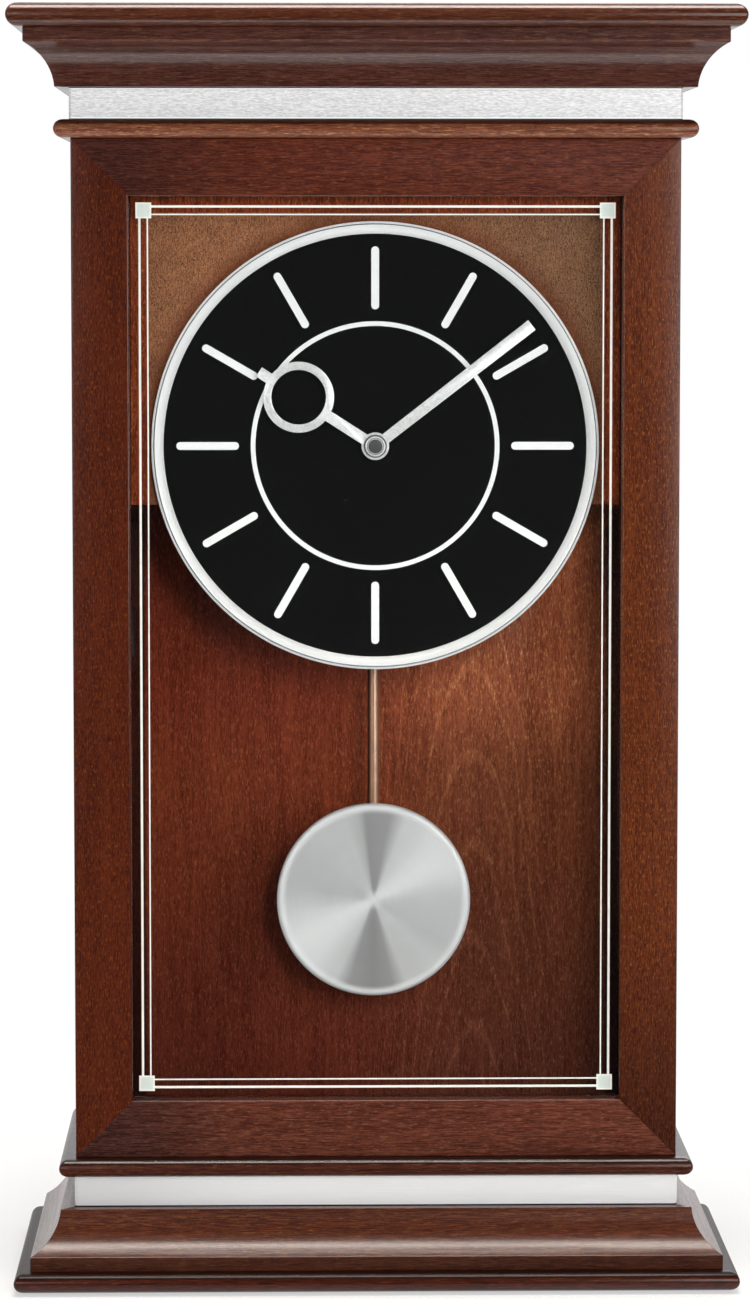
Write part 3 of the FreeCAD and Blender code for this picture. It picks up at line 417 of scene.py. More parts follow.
def painted_shade_bead(node, seed, stain, sheen, lacquer, start):
    """Bead whose upper edge is darkened with painted shade, where the part above it holds back the light;
    its coat is thinner there too.
    """
    z = start.axis("Z")
    top = high(node).z
    # painted shade along the top of the nose
    dark = z.step(top - 1.8 * MM, top - 1.3 * MM)
    sockets = walnut("X", seed, stain, lacquer, start, 2.2)
    tint_where(dark, sockets, (0.30, 0.24, 0.25), start)
    sockets["Coat Weight"] = sockets["Coat Weight"] * (0.9 - (0.9 - sheen) * dark)
    return sockets


def cap_finish(stain, lacquer, start):
    """Cap board: full lacquer on the rounded edge, a thinner coat on the flat top."""
    z = start.axis("Z")
    top = high("cap_board").z
    flat = z.step(top - 0.25 * MM, top - 0.05 * MM)
    sockets = walnut("X", 1, stain, lacquer, start, 2.2)
    sockets["Coat Weight"] = sockets["Coat Weight"] * (1 - 0.8 * flat)
    return sockets


def base_cove(grain, seed, stain, lacquer, start):
    """Base moulding: the fascia under the cove is darkened a little with painted shade, since it gets less
    light from above than the cove.
    """
    z = start.axis("Z")
    fascia_top = low("base_moulding_front").z + FASCIA_HEIGHT
    sockets = walnut(grain, seed, stain, lacquer, start, 2.2, 0.35)
    # painted shade on the fascia
    fascia = z.step(fascia_top + 0.3 * MM, fascia_top - 0.1 * MM)
    tint_where(fascia, sockets, (0.70, 0.74, 0.80), start)
    return sockets


def crown_cove(grain, seed, stain, lacquer, start):
    """Crown moulding: a thin painted highlight along the lower edge of the fascia."""
    z = start.axis("Z")
    fascia_end = high("crown_moulding_front").z - FASCIA_HEIGHT
    sockets = walnut(grain, seed, stain, lacquer, start, 2.2, 0.35)
    # painted highlight where the fascia's lower edge would catch light
    painted_fascia_highlight = z.step(fascia_end - 0.1 * MM, fascia_end + 0.15 * MM)
    painted_fascia_highlight = painted_fascia_highlight * z.step(fascia_end + 0.75 * MM, fascia_end + 0.45 * MM)
    tint_where(painted_fascia_highlight, sockets, (1.7, 1.9, 1.9), start)
    return sockets


def rail_with_painted_shade(seed, stain, lacquer, start):
    """Rail of the front frame, darkened towards its left end with painted shade."""
    x = start.axis("X")
    sockets = walnut("X", seed, stain, lacquer, start, 1.8, 0.35)
    # painted shade: darker towards the left end, away from the light at the right
    painted_shade_left_end = x.step(-35 * MM, -85 * MM)
    tint_where(painted_shade_left_end, sockets, (0.52, 0.60, 0.85), start)
    return sockets


def stile_darker_at_foot(seed, stain, lacquer, start):
    """Right stile of the front frame, darker towards its foot."""
    z = start.axis("Z")
    sockets = walnut("Z", seed, stain, lacquer, start, 1.0, 0.6)
    foot = z.step(130 * MM, 45 * MM)
    tint_where(foot, sockets, (0.50, 0.46, 0.62), start)
    return sockets


def door_veneer(stain, lacquer, start):
    """Veneer of the rear door: upright pores and faint nested arches to one side of the middle, with painted
    light and shade on the inner face.
    """
    x, y, z = start.axes("XYZ")
    arch_spacing = 4.6 * MM
    wander = start.noise((30, 30, 60), 31, 2)
    off_centre = x - 34 * MM + 12 * MM * (wander - 0.5)
    arches = (z * 0.15 + off_centre * off_centre * 30.0) * (2 * math.pi / arch_spacing)
    line = arches.maths("SINE", arches).step(0.80, 1.0)
    reach = abs(off_centre).step(50 * MM, 18 * MM)
    sockets = walnut("Z", 12, stain, lacquer, start, 1.0, 0.3, 0.62)
    # painted light and shade: lighter towards the right, much lighter towards the top and darker at the
    # foot, standing in for the light that falls into the case
    right = x.step(-20 * MM, 40 * MM)
    middle = start.mix(right, (0.90, 0.78, 0.82), (1.0, 1.22, 1.36))
    top = start.mix(right, (0.92, 0.70, 0.82), (2.0, 2.5, 2.9))
    foot = start.tint(1.0, middle, (0.62, 0.60, 0.80))
    painted_light_and_shade = start.mix(z.step(50 * MM, 160 * MM), foot, middle)
    painted_light_and_shade = start.mix(z.step(150 * MM, 190 * MM), painted_light_and_shade, top)
    # painted shadow along both sides of the inner face, below the dial board
    painted_shadow_margin = x.step(-75.0 * MM, -76.6 * MM) + x.step(78.0 * MM, 79.6 * MM)
    painted_light_and_shade = start.tint(painted_shadow_margin * z.step(249 * MM, 240 * MM), painted_light_and_shade, (0.20, 0.22, 0.26))
    # the outer face is toned darker; the inner face's lighter tone partly stands in for light falling into
    # the case
    inner_face = y.step(low("rear_door").y + 1.6 * MM, low("rear_door").y + 0.8 * MM)
    painted_light_and_shade = start.mix(inner_face, (0.36, 0.38, 0.42), painted_light_and_shade)
    tint_where(1.0, sockets, painted_light_and_shade, start)
    tint_where(line * reach * 0.5, sockets, (1.6, 2.0, 2.0), start)
    sockets["Coat Weight"] = 0.75 - 0.5 * inner_face
    return sockets


def dial_veneer(stain, border, lacquer, start):
    """Dial board: a lighter suede-like field inside a darker border, with a painted shadow round the bezel
    and painted shade towards the right.
    """
    x, z = start.axes("XZ")
    mottle = start.noise((5, 5, 7), 21, 3, 0.6)
    speck = start.noise((0.30, 0.30, 0.55), 22, 2, 0.7)
    slant = start.noise((0.35, 0.35, 1.6), 23, 2, 0.6, 0.8)
    shade = 0.50 + 0.6 * (mottle - 0.5) + 3.0 * (speck - 0.5) + 2.2 * (slant - 0.5)
    field = start.mix(shade, toned(stain, 0.36, 0.30, 0.27), toned(stain, 1.64, 1.74, 1.78))
    # painted shade: the field is darker towards the right, where the right stile shades it
    field = start.mix(x.step(0.0, 60 * MM), field, start.tint(1.0, field, (0.72, 0.82, 0.88)))
    plain = walnut("Z", 24, border, lacquer, start)
    border_width = 3.2 * MM
    blur = 0.3 * MM
    half_field = high("glass_border").x - border_width
    field_top = high("glass_border").z - border_width
    inside = abs(x).step(half_field + blur, half_field) * z.step(field_top + blur, field_top)
    bezel_radius = high("bezel").x
    # painted shadow round the bezel
    painted_bezel_shadow = distance(x, z - DIAL_Z).step(bezel_radius + 7 * MM, bezel_radius - 1 * MM)
    colour = start.mix(inside, plain["Base Color"], field)
    return {
        "Base Color": start.mix(painted_bezel_shadow * 0.62, colour, toned(border, 0.5)),
        "Roughness": 0.42 + 0.2 * (speck - 0.5),
        "Specular IOR Level": 0.12,
        "Normal": start.bump(speck, 0.05, 0.5),
    }


def raw_wood(grain, seed, start):
    """Unlacquered softwood of the cleats."""
    ring = start.noise(with_grain(grain, 3.0, 60), seed, 3, 0.6, 0.3)
    fibre = start.noise(with_grain(grain, 0.4, 6), seed + 1, 2)
    shade = 0.5 + 1.8 * (ring - 0.5) + 1.2 * (fibre - 0.5)
    return {
        "Base Color": start.mix(shade, (0.30, 0.17, 0.09), (0.52, 0.35, 0.20)),
        "Roughness": 0.7 + 0.2 * (fibre - 0.5),
        "Normal": start.bump(fibre, 0.05, 0.5),
    }


def felt(start):
    """Black felt with a short matted pile."""
    tuft = start.noise((1.6, 1.6, 1.6), 41, 4, 0.7)
    hair = start.noise((0.15, 0.5, 0.15), 42, 2, 0.6, 1.0)
    shade = 0.5 + 2.0 * (tuft - 0.5) + (hair - 0.5)
    return {
        "Base Color": start.mix(shade, (0.012, 0.014, 0.012), (0.045, 0.05, 0.045)),
        "Roughness": 0.95,
        "Sheen Weight": 0.4,
        "Normal": start.bump(tuft + hair, 0.2, 0.8),
    }


# Metal finishes

def speckled_band(metal, start):
    """Brushed aluminium with short broken scratches along its length, a painted highlight line and a painted
    shadow line along each edge.
    """
    scratch = start.noise((1.8, 1.8, 0.26), 51, 3, 0.7)
    speck = start.noise((0.9, 0.9, 0.30), 52, 2, 0.6).step(0.52, 0.70)
    stroke = start.noise((24, 24, 0.5), 53, 2)
    shade = 0.45 + 4.0 * (scratch - 0.5) + 0.8 * (stroke - 0.5) + 0.35 * speck
    z = start.axis("Z")
    from_edge = start.maths("MINIMUM", high("upper_band").z - z, z - low("upper_band").z)
    body = start.mix(shade, toned(metal, 0.63), toned(metal, 0.96))
    # painted highlight line a little in from each edge
    body = start.mix(from_edge.step(0.75 * MM, 0.55 * MM), body, toned(metal, 1.08))
    return {
        # painted shadow line right at each edge
        "Base Color": start.mix(from_edge.step(0.30 * MM, 0.20 * MM), body, PAINTED_EDGE_SHADOW),
        "Metallic": 0.35,
        "Roughness": 0.44 + 0.25 * (scratch - 0.5),
        "Anisotropic": 0.55,
        "Normal": start.bump(scratch, 0.012, 0.5),
    }


def satin_band(metal, start):
    """Fine brushed aluminium with an even satin sheen, painted shade towards its left end and a painted
    shadow line along its bottom edge.
    """
    scratch = start.noise((30, 30, 0.22), 55, 3, 0.6)
    fine = start.noise((6, 6, 0.16), 56, 2)
    shade = 0.5 + 0.9 * (scratch - 0.5) + 0.6 * (fine - 0.5)
    x, z = start.axes("XZ")
    body = start.mix(shade, toned(metal, 0.86), toned(metal, 0.98))
    # painted shade towards the left end
    body = start.mix(x.step(-30 * MM, -100 * MM), body, toned(metal, 0.74))
    from_bottom = z - low("lower_band").z
    return {
        # painted shadow line along the bottom edge
        "Base Color": start.mix(from_bottom.step(0.40 * MM, 0.28 * MM), body, PAINTED_EDGE_SHADOW),
        "Metallic": 0.30,
        "Roughness": 0.40 + 0.15 * (scratch - 0.5),
        "Anisotropic": 0.6,
        "Normal": start.bump(fine, 0.004, 0.5),
    }


def turned_metal(metal, grooves, roughness, metallic, contrast, start):
    """Metal turned on a lathe about the piece's own Z axis: fine circular grooves."""
    x, y, z = start.axes("XYZ")
    scale = 1 / (grooves * MM)
    ring_place = start.node("ShaderNodeCombineXYZ", None, {0: distance(x, y) * scale, 1: z * scale})
    ring = start.node("ShaderNodeTexNoise", None, {
        "Vector": ring_place, "Scale": 1.0, "Detail": 3.0, "Roughness": 0.6})
    cloud = start.noise((6, 6, 6), 61, 3)
    shade = 0.5 + 1.6 * (ring - 0.5) + 0.6 * (cloud - 0.5)
    return {
        "Base Color": start.mix(shade, toned(metal, 1 - contrast), toned(metal, 1.0 + contrast / 3)),
        "Metallic": metallic,
        "Roughness": roughness + 0.10 * (ring - 0.5) + 0.06 * (cloud - 0.5),
        "Normal": start.bump(ring, 0.004, 0.4),
    }


def spun_bob(metal, start):
    """Face of the bob: circular grain whose anisotropic gloss gathers the light into soft radial wedges,
    helped by painted wedges of sheen in its colour.
    """
    x, y = start.axes("XY")
    sockets = turned_metal(toned(metal, 1.09), 0.28, 0.43, 0.64, 0.05, start)
    # painted reflection: brightness by angle round the centre
    turn = x.maths("ARCTAN2", x, y) * (0.5 / math.pi) + 0.5
    stops = [(place, (grey, grey, grey)) for place, grey in PAINTED_BOB_SHEEN]
    sheen = start.node("ShaderNodeValToRGB", {"stops": stops}, {"Fac": turn})
    radius = distance(x, y)
    edge = high("bob").x
    face = radius.step(0.5 * MM, 4 * MM) * radius.step(edge - 1.2 * MM, edge - 3.5 * MM)
    tint_where(1.0, sockets, start.mix(face, (0.95, 0.95, 0.95), sheen), start)
    sockets["Metallic"] = 0.30 + 0.40 * face
    sockets["Anisotropic"] = 0.75
    sockets["Anisotropic Rotation"] = 0.25
    return sockets


def bezel_finish(metal, start):
    """Polished ring with painted shade in the groove inside its thin outer rim and on its lower part."""
    x, y = start.axes("XY")
    sockets = turned_metal(toned(metal, 1.09), 0.22, 0.32, 0.12, 0.06, start)
    radius = distance(x, y)
    rim_inner = high("bezel").x - BEZEL_RIM
    groove = radius.step(rim_inner - BEZEL_GROOVE, rim_inner - 0.8 * BEZEL_GROOVE)
    groove = groove * radius.step(rim_inner, rim_inner - 0.2 * BEZEL_GROOVE)
    # painted shade: darker towards the bottom of the ring
    tint_where(y.step(20 * MM, -90 * MM), sockets, (0.86, 0.86, 0.86), start)
    # painted shadow in the groove
    sockets["Base Color"] = start.mix(groove * 0.85, sockets["Base Color"], (0.02, 0.02, 0.02))
    return sockets


def hand_finish(metal, start):
    """Satin aluminium of the hands."""
    x, z = start.axes("XZ")
    fine = start.noise((0.5, 0.5, 0.5), 71, 3, 0.7)
    patch = start.noise((3, 3, 3), 72, 2)
    from_hub = distance(x, z - DIAL_Z)
    outer_ring = from_hub.step(3.15 * MM, 3.22 * MM) * from_hub.step(3.72 * MM, 3.65 * MM)
    inner_ring = from_hub.step(2.40 * MM, 2.46 * MM) * from_hub.step(2.76 * MM, 2.70 * MM)
    shade = 0.5 + 2.4 * (fine - 0.5) + (patch - 0.5)
    satin = start.mix(shade, toned(metal, 0.74), toned(metal, 1.08))
    return {
        "Base Color": start.mix(0.9 * outer_ring + 0.7 * inner_ring, satin, (0.03, 0.03, 0.03)),
        "Metallic": 0.38,
        "Roughness": 0.36 + 0.2 * (fine - 0.5),
        "Normal": start.bump(fine, 0.006, 0.5),
    }


def bronzed(colour, start):
    """Bronzed rod, faintly drawn along its length, under a clear lacquer, with a painted highlight stripe
    and a painted shaded left flank.
    """
    drawn = start.noise((0.35, 0.35, 14), 39, 2)
    bloom = start.noise((1.2, 1.2, 5), 40, 2)
    x = start.axis("X")
    body = start.mix(0.5 + 1.6 * (drawn - 0.5) + (bloom - 0.5), toned(colour, 0.7), toned(colour, 1.3))
    # painted highlight stripe right of the middle
    painted_rod_highlight = x.step(0.1 * MM, 0.6 * MM) * x.step(1.6 * MM, 1.2 * MM)
    body = start.tint(painted_rod_highlight, body, (1.6, 1.9, 2.1))
    return {
        # painted shade on the left flank
        "Base Color": start.tint(x.step(-0.9 * MM, -1.5 * MM), body, (0.22, 0.18, 0.18)),
        "Metallic": 0.55,
        "Roughness": 0.34 + 0.15 * (bloom - 0.5),
        "Coat Weight": 0.6,
        "Coat Roughness": 0.22,
    }


def plated(colour, roughness, seed, start):
    """Plated or cast metal with a faint cloudy bloom."""
    cloud = start.noise((2.4, 2.4, 2.4), seed, 3, 0.6)
    fine = start.noise((0.25, 0.25, 1.4), seed + 1, 2)
    shade = 0.5 + 1.4 * (cloud - 0.5) + 0.6 * (fine - 0.5)
    return {
        "Base Color": start.mix(shade, toned(colour, 0.75), toned(colour, 1.1)),
        "Metallic": 1.0,
        "Roughness": roughness + 0.18 * (cloud - 0.5) + 0.08 * (fine - 0.5),
        "Normal": start.bump(fine, 0.006, 0.4),
    }


# Plastics, print and glass

def moulded(colour, roughness, seed, start):
    """Moulded plastic with a fine spark-eroded texture."""
    grit = start.cells(0.35, seed)
    cloud = start.noise((9, 9, 9), seed, 2)
    shade = 0.5 + 1.0 * (cloud - 0.5) + 0.5 * (grit - 0.4)
    return {
        "Base Color": start.mix(shade, toned(colour, 0.8), toned(colour, 1.2)),
        "Roughness": roughness + 0.12 * (cloud - 0.5),
        "Normal": start.bump(grit, 0.02, 0.35),
    }


def printed(colour, seed, start):
    """Thick screen print with a soft edge to its gloss."""
    grain = start.noise((0.35, 0.35, 0.35), seed, 2)
    return {
        "Base Color": start.mix(0.5 + 1.2 * (grain - 0.5), toned(colour, 0.94), toned(colour, 1.04)),
        "Roughness": 0.45 + 0.1 * (grain - 0.5),
        "Specular IOR Level": 0.3,
    }


def border_print(start):
    """Warm white lines and cooler squares with a bright rim."""
    x, z = start.axes("XZ")
    middle_z = (low("glass_border").z + high("glass_border").z) / 2
    half_z = (high("glass_border").z - low("glass_border").z) / 2
    half_x = high("glass_border").x
    square = 5.0 * MM
    rim = 0.45 * MM
    from_side = half_x - abs(x)
    from_end = half_z - abs(z - middle_z)
    across, down = (edge.step(rim, rim * 1.5) * edge.step(square - rim, square - rim * 1.5)
                    for edge in (from_side, from_end))
    grain = start.noise((0.4, 0.4, 0.4), 81, 2)
    lines = start.mix(grain, (0.97, 0.94, 0.89), (1.0, 0.975, 0.94))
    return {
        "Base Color": start.mix(across * down, lines, (0.84, 0.87, 0.84)),
        "Roughness": 0.4 + 0.1 * (grain - 0.5),
        "Specular IOR Level": 0.3,
    }


def gloss_black(colour, start):
    """Gloss lacquer of the dial plate, with a trace of orange peel."""
    peel = start.noise((3, 3, 3), 85, 2)
    dust = start.noise((0.3, 0.3, 0.3), 86, 1).step(0.70, 0.76)
    return {
        "Base Color": start.mix(dust, colour, toned(colour, 1.8)),
        "Roughness": 0.10 + 0.05 * (peel - 0.5),
        "Specular IOR Level": 0.4,
        "Normal": start.bump(peel, 0.004, 0.3),
    }


def battery_sleeve(start):
    """Printed sleeve: dark body, copper-coloured band at one end, bare metal at both ends."""
    x = start.axis("X")
    fine = start.noise((0.8, 0.8, 0.8), 91, 2)
    left, right = low("battery").x, high("battery").x
    band = x.step(right - 14.0 * MM, right - 13.7 * MM)
    steel = 1 - x.step(right - 1.5 * MM, right - 1.7 * MM) * x.step(left + 0.3 * MM, left + 0.5 * MM)
    sleeve = start.mix(band, (0.02, 0.022, 0.026), (0.50, 0.24, 0.09))
    colour = start.mix(steel, sleeve, (0.62, 0.62, 0.63))
    return {
        "Base Color": start.mix(0.25 * fine, colour, (0.0, 0.0, 0.0)),
        "Metallic": 0.3 + 0.7 * steel,
        "Roughness": 0.28 + 0.15 * (fine - 0.5),
    }


def winding(start):
    """Enamelled copper wire in tight turns."""
    turn = start.noise((0.22, 4, 4), 93, 2)
    return {
        "Base Color": start.mix(0.5 + 2.2 * (turn - 0.5), (0.28, 0.09, 0.03), (0.80, 0.33, 0.13)),
        "Metallic": 0.8,
        "Roughness": 0.32 + 0.2 * (turn - 0.5),
        "Normal": start.bump(turn, 0.1, 0.7),
    }


def circuit_mask(start):
    """Green solder mask over faint tracks, with a black chip."""
    y = start.axis("Y")
    track = start.cells(2.2, 95).step(0.42, 0.46)
    chip = y.step(low("circuit_board").y + 1.3 * MM, low("circuit_board").y + 0.9 * MM)
    board = start.mix(track, (0.012, 0.16, 0.06), (0.02, 0.24, 0.10))
    return {
        "Base Color": start.mix(chip, board, (0.012, 0.012, 0.013)),
        "Roughness": 0.32 + 0.2 * chip,
        "Normal": start.bump(track, 0.03, 0.4),
    }


def clear_glass(start):
    """Clear glass that lets the lamps' light through."""
    pane = start.node("ShaderNodeBsdfPrincipled", None, {
        "Base Color": (0.985, 0.995, 0.99), "Roughness": 0.0, "IOR": 1.45, "Transmission Weight": 1.0})
    clear = start.node("ShaderNodeBsdfTransparent", None, {"Color": (0.96, 0.97, 0.965)})
    shadow_ray = start.node("ShaderNodeLightPath", None, None, "Is Shadow Ray")
    return start.node("ShaderNodeMixShader", None, {0: shadow_ray, 1: pane, 2: clear})


# Mesh tools

def piece_from(name, mesh_maker):
    """Object from a bmesh, smooth but for its sharp edges."""
    mesh = bpy.data.meshes.new(name)
    mesh_maker.to_mesh(mesh)
    mesh_maker.free()
    mesh.shade_smooth()
    mesh.set_sharp_from_angle(angle=SMOOTH_UP_TO)
    piece = bpy.data.objects.new(name, mesh)
    bpy.context.scene.collection.objects.link(piece)
    return piece


def close_ring(maker, row, following):
    """Faces between two rings of the same number of points."""
    for i in range(len(row)):
        j = (i + 1) % len(row)
        maker.faces.new((row[i], row[j], following[j], following[i]))


def solid(name, rings, closed=False):
    """Skin over rings that have the same number of points. Open ends get a face."""
    maker = bmesh.new()
    rows = [[maker.verts.new(point) for point in ring] for ring in rings]
    following_rows = rows[1:] + rows[:1] if closed else rows[1:]
    for row, following in zip(rows, following_rows):
        close_ring(maker, row, following)
    if not closed:
        maker.faces.new(rows[0])
        maker.faces.new(rows[-1])
    bmesh.ops.remove_doubles(maker, verts=maker.verts, dist=1e-7)
    bmesh.ops.recalc_face_normals(maker, faces=maker.faces)
    return piece_from(name, maker)


def turned(name, profile, segments, centre, facing=-1):
    """Solid turned about an axis along Y. Profile points are radius and height above the centre's plane."""
    rings = []
    for i in range(segments):
        angle = 2 * math.pi * i / segments
        rings.append([(r * math.cos(angle), r * math.sin(angle), h) for r, h in profile])
    piece = solid(name, rings, True)
    piece.matrix_world = Matrix.Translation(centre) @ Matrix.Rotation(-facing * math.pi / 2, 4, "X")
    return piece


def arc_through(first, middle, last, steps):
    """Points on the circle through three points, both ends left out."""
    ax, ay = first
    bx, by = middle
    cx, cy = last
    a, b, c = ax * ax + ay * ay, bx * bx + by * by, cx * cx + cy * cy
    divisor = 2 * (ax * (by - cy) + bx * (cy - ay) + cx * (ay - by))
    centre_x = (a * (by - cy) + b * (cy - ay) + c * (ay - by)) / divisor
    centre_y = (a * (cx - bx) + b * (ax - cx) + c * (bx - ax)) / divisor
    radius = math.hypot(ax - centre_x, ay - centre_y)
    start = math.atan2(ay - centre_y, ax - centre_x)
    sweep = (math.atan2(cy - centre_y, cx - centre_x) - start + math.pi) % (2 * math.pi) - math.pi
    angles = [start + sweep * i / steps for i in range(1, steps)]
    return [(centre_x + radius * math.cos(angle), centre_y + radius * math.sin(angle)) for angle in angles]


def eased(corners, steps=4):
    """Outline whose corners are rounded. Each corner is a point and its radius."""
    outline = []
    for i, (corner, radius) in enumerate(corners):
        point = Vector(corner)
        if radius == 0:
            outline.append(tuple(point))
            continue
        before = Vector(corners[i - 1][0]) - point
        after = Vector(corners[(i + 1) % len(corners)][0]) - point
        first = point + before.normalized() * min(radius, before.length / 2)
        last = point + after.normalized() * min(radius, after.length / 2)
        for k in range(steps + 1):
            t = k / steps
            outline.append(tuple((1 - t) ** 2 * first + 2 * t * (1 - t) * point + t * t * last))
    return outline


def inset(outline, amount):
    """Closed outline moved inwards by an even amount."""
    points = [Vector(p) for p in outline]
    area = sum(a.x * b.y - b.x * a.y for a, b in zip(points, points[1:] + points[:1]))
    side = 1 if area > 0 else -1
    moved = []
    for i, point in enumerate(points):
        arriving = (point - points[i - 1]).normalized()
        leaving = (points[(i + 1) % len(points)] - point).normalized()
        first = Vector((-arriving.y, arriving.x)) * side
        second = Vector((-leaving.y, leaving.x)) * side
        reach = amount / max(0.35, 1 + first.dot(second))
        moved.append(tuple(point + (first + second) * reach))
    return moved


def soften(node, width, material):
    """Replace a node by a copy of its shape with its sharp edges broken."""
    maker = bmesh.new()
    maker.from_mesh(frame["nodes"][node].data)
    bmesh.ops.remove_doubles(maker, verts=maker.verts, dist=1e-6)
    bmesh.ops.dissolve_limit(maker, angle_limit=math.radians(0.6), verts=maker.verts, edges=maker.edges)
    edges = [e for e in maker.edges if len(e.link_faces) == 2 and e.calc_face_angle(0) > BROKEN_OVER]
    bmesh.ops.bevel(maker, geom=edges, offset=width, offset_type="OFFSET", segments=EDGE_SEGMENTS,
                    profile=0.5, affect="EDGES", clamp_overlap=True)
    return stands_for(piece_from(f"{node}_finished", maker), node, material)


def paint(piece, material):
    """Give a piece, or a node of the frame, its one material."""
    if piece.material_slots:
        piece.material_slots[0].material = material
    else:
        piece.data.materials.append(material)
    return piece


def stands_for(piece, node, material):
    """Finish a piece that takes the place of a node."""
    piece.data.materials.clear()
    paint(piece, material)
    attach(piece, BODY_OF[node])
    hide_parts(node)
    return piece


def paint_node(node, material):
    """Give a node of the frame its material."""
    return paint(frame["nodes"][node], material)


def added(piece, node, material):
    """Finish an extra piece that moves with a node and shares its slot."""
    paint(piece, material)
    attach(piece, BODY_OF[node])
    return piece


def wood(context, grain, seed, tone=(1.0, 1.0, 1.0), length=1.0, fleck=0.5):
    """Walnut finish of one run of wood, with its own grain direction and place in the log."""
    settings = context.scene.clock_wood
    stain = toned(settings.stain, *tone)
    return finish(f"stained_walnut_{seed:02d}",
                  partial(walnut, grain, seed, stain, settings.lacquer, length=length, fleck=fleck))


# Boards, mouldings and bands

def plan_loop(side, front, corner, z, steps):
    """Outline of a board seen from above: square at the rear, its front corners rounded."""
    loop = [(-side, CASE_REAR, z)]
    for turn, x in ((2, -side + corner), (3, side - corner)):
        for i in range(steps + 1):
            angle = (turn + i / steps) * math.pi / 2
            loop.append((x + corner * math.cos(angle), front + corner + corner * math.sin(angle), z))
    loop.append((side, CASE_REAR, z))
    return loop


def nosed_board(node):
    """Board with a half-round nose at the front and both sides."""
    corner = 0.9 * MM
    steps = 12
    bottom, top = low(node).z, high(node).z
    radius = (top - bottom) / 2
    overhang = high(node).x - CASE_SIDE
    rings = []
    for i in range(steps + 1):
        angle = math.pi * (i / steps - 0.5)
        reach = overhang - radius + radius * math.cos(angle)
        z = (bottom + top) / 2 + radius * math.sin(angle)
        rings.append(plan_loop(CASE_SIDE + reach, CASE_FRONT - reach, corner, z, 5))
    return solid(f"{node}_nosed", rings)


def moulding_section(wide_end, wide_start, narrow_end, front_piece):
    """Fascia and cove as points of overhang and height."""
    overhang = CASE_FRONT - low(front_piece).y
    back = CASE_FRONT - high(front_piece).y
    chord = Vector((overhang - COVE_OVERHANG, wide_start - narrow_end))
    hollow = ((overhang + COVE_OVERHANG) / 2 - COVE_HOLLOW * abs(chord.y) / chord.length,
              (wide_start + narrow_end) / 2 + math.copysign(COVE_HOLLOW * chord.x / chord.length, chord.y))
    start, end = (overhang, wide_start), (COVE_OVERHANG, narrow_end)
    cove = [(point, 0) for point in arc_through(start, hollow, end, 24)]
    corners = [((back, wide_end), 0.2 * MM), ((overhang, wide_end), 0.25 * MM), (start, 0.25 * MM)]
    return eased(corners + cove + [(end, 0.15 * MM), ((back, narrow_end), 0.2 * MM)])


def moulding_rings(section, groove, at_start, at_end):
    """Rings of a run whose both ends are drawn in a little, so that the joint shows as a fine groove."""
    slim = inset(section, groove)
    return [[at_start(*p, 0) for p in slim], [at_start(*p, groove) for p in section],
            [at_end(*p, groove) for p in section], [at_end(*p, 0) for p in slim]]


def front_moulding(node, section, groove):
    """Front run of a moulding, mitred at both ends."""

    def at_left(u, z, shift):
        return (-CASE_SIDE - u + shift, CASE_FRONT - u, z)

    def at_right(u, z, shift):
        return (CASE_SIDE + u - shift, CASE_FRONT - u, z)

    return solid(f"{node}_run", moulding_rings(section, groove, at_left, at_right))


def side_moulding(node, section, groove, side):
    """Side run of a moulding, mitred at the front and square at the rear."""

    def at_mitre(u, z, shift):
        return (side * (CASE_SIDE + u), CASE_FRONT - u + shift, z)

    def at_rear(u, z, shift):
        return (side * (CASE_SIDE + u), CASE_REAR - shift, z)

    return solid(f"{node}_run", moulding_rings(section, groove, at_mitre, at_rear))


def bent_band(node):
    """Aluminium strip bent round the front and the sides, with broken edges."""
    side, front = high(node).x, low(node).y
    thickness, bend, edge, steps = 0.8 * MM, 1.1 * MM, 0.12 * MM, 8
    outer = plan_loop(side, front, bend, 0, steps)
    inner = plan_loop(side - thickness, front + thickness, bend - thickness, 0, steps)
    outline = [point[:2] for point in outer + inner[::-1]]
    slim = inset(outline, edge)
    bottom, top = low(node).z, high(node).z
    levels = ((slim, bottom), (outline, bottom + edge), (outline, top - edge), (slim, top))
    return solid(f"{node}_bent", [[(x, y, z) for x, y in points] for points, z in levels])


# Front frame

def member_section():
    """Section of the frame's members: distance from the outer edge, and Y."""
    width = high("frame_rail_bottom").z - low("frame_rail_bottom").z
    return eased([
        ((0, CASE_FRONT), OUTER_ROUND),
        ((0, FRAME_BACK), 0.15 * MM),
        ((width - REBATE_WIDTH, FRAME_BACK), 0.15 * MM),
        ((width - REBATE_WIDTH, GLASS_FRONT), 0),
        ((width, GLASS_FRONT), 0.15 * MM),
        ((width, CASE_FRONT), INNER_ROUND),
    ], 6)


def stile(node, side, groove):
    """Upright of the front frame, mitred at both ends."""
    bottom, top = low(node).z, high(node).z

    def at_bottom(w, y, shift):
        return (side * (CASE_SIDE - w), y, bottom + w + shift)

    def at_top(w, y, shift):
        return (side * (CASE_SIDE - w), y, top - w - shift)

    return solid(f"{node}_mitred", moulding_rings(member_section(), groove, at_bottom, at_top))


def rail(node, outer_z, inward, groove):
    """Rail of the front frame, mitred at both ends."""

    def at_left(w, y, shift):
        return (-CASE_SIDE + w + shift, y, outer_z + inward * w)

    def at_right(w, y, shift):
        return (CASE_SIDE - w - shift, y, outer_z + inward * w)

    return solid(f"{node}_mitred", moulding_rings(member_section(), groove, at_left, at_right))


# Turned parts

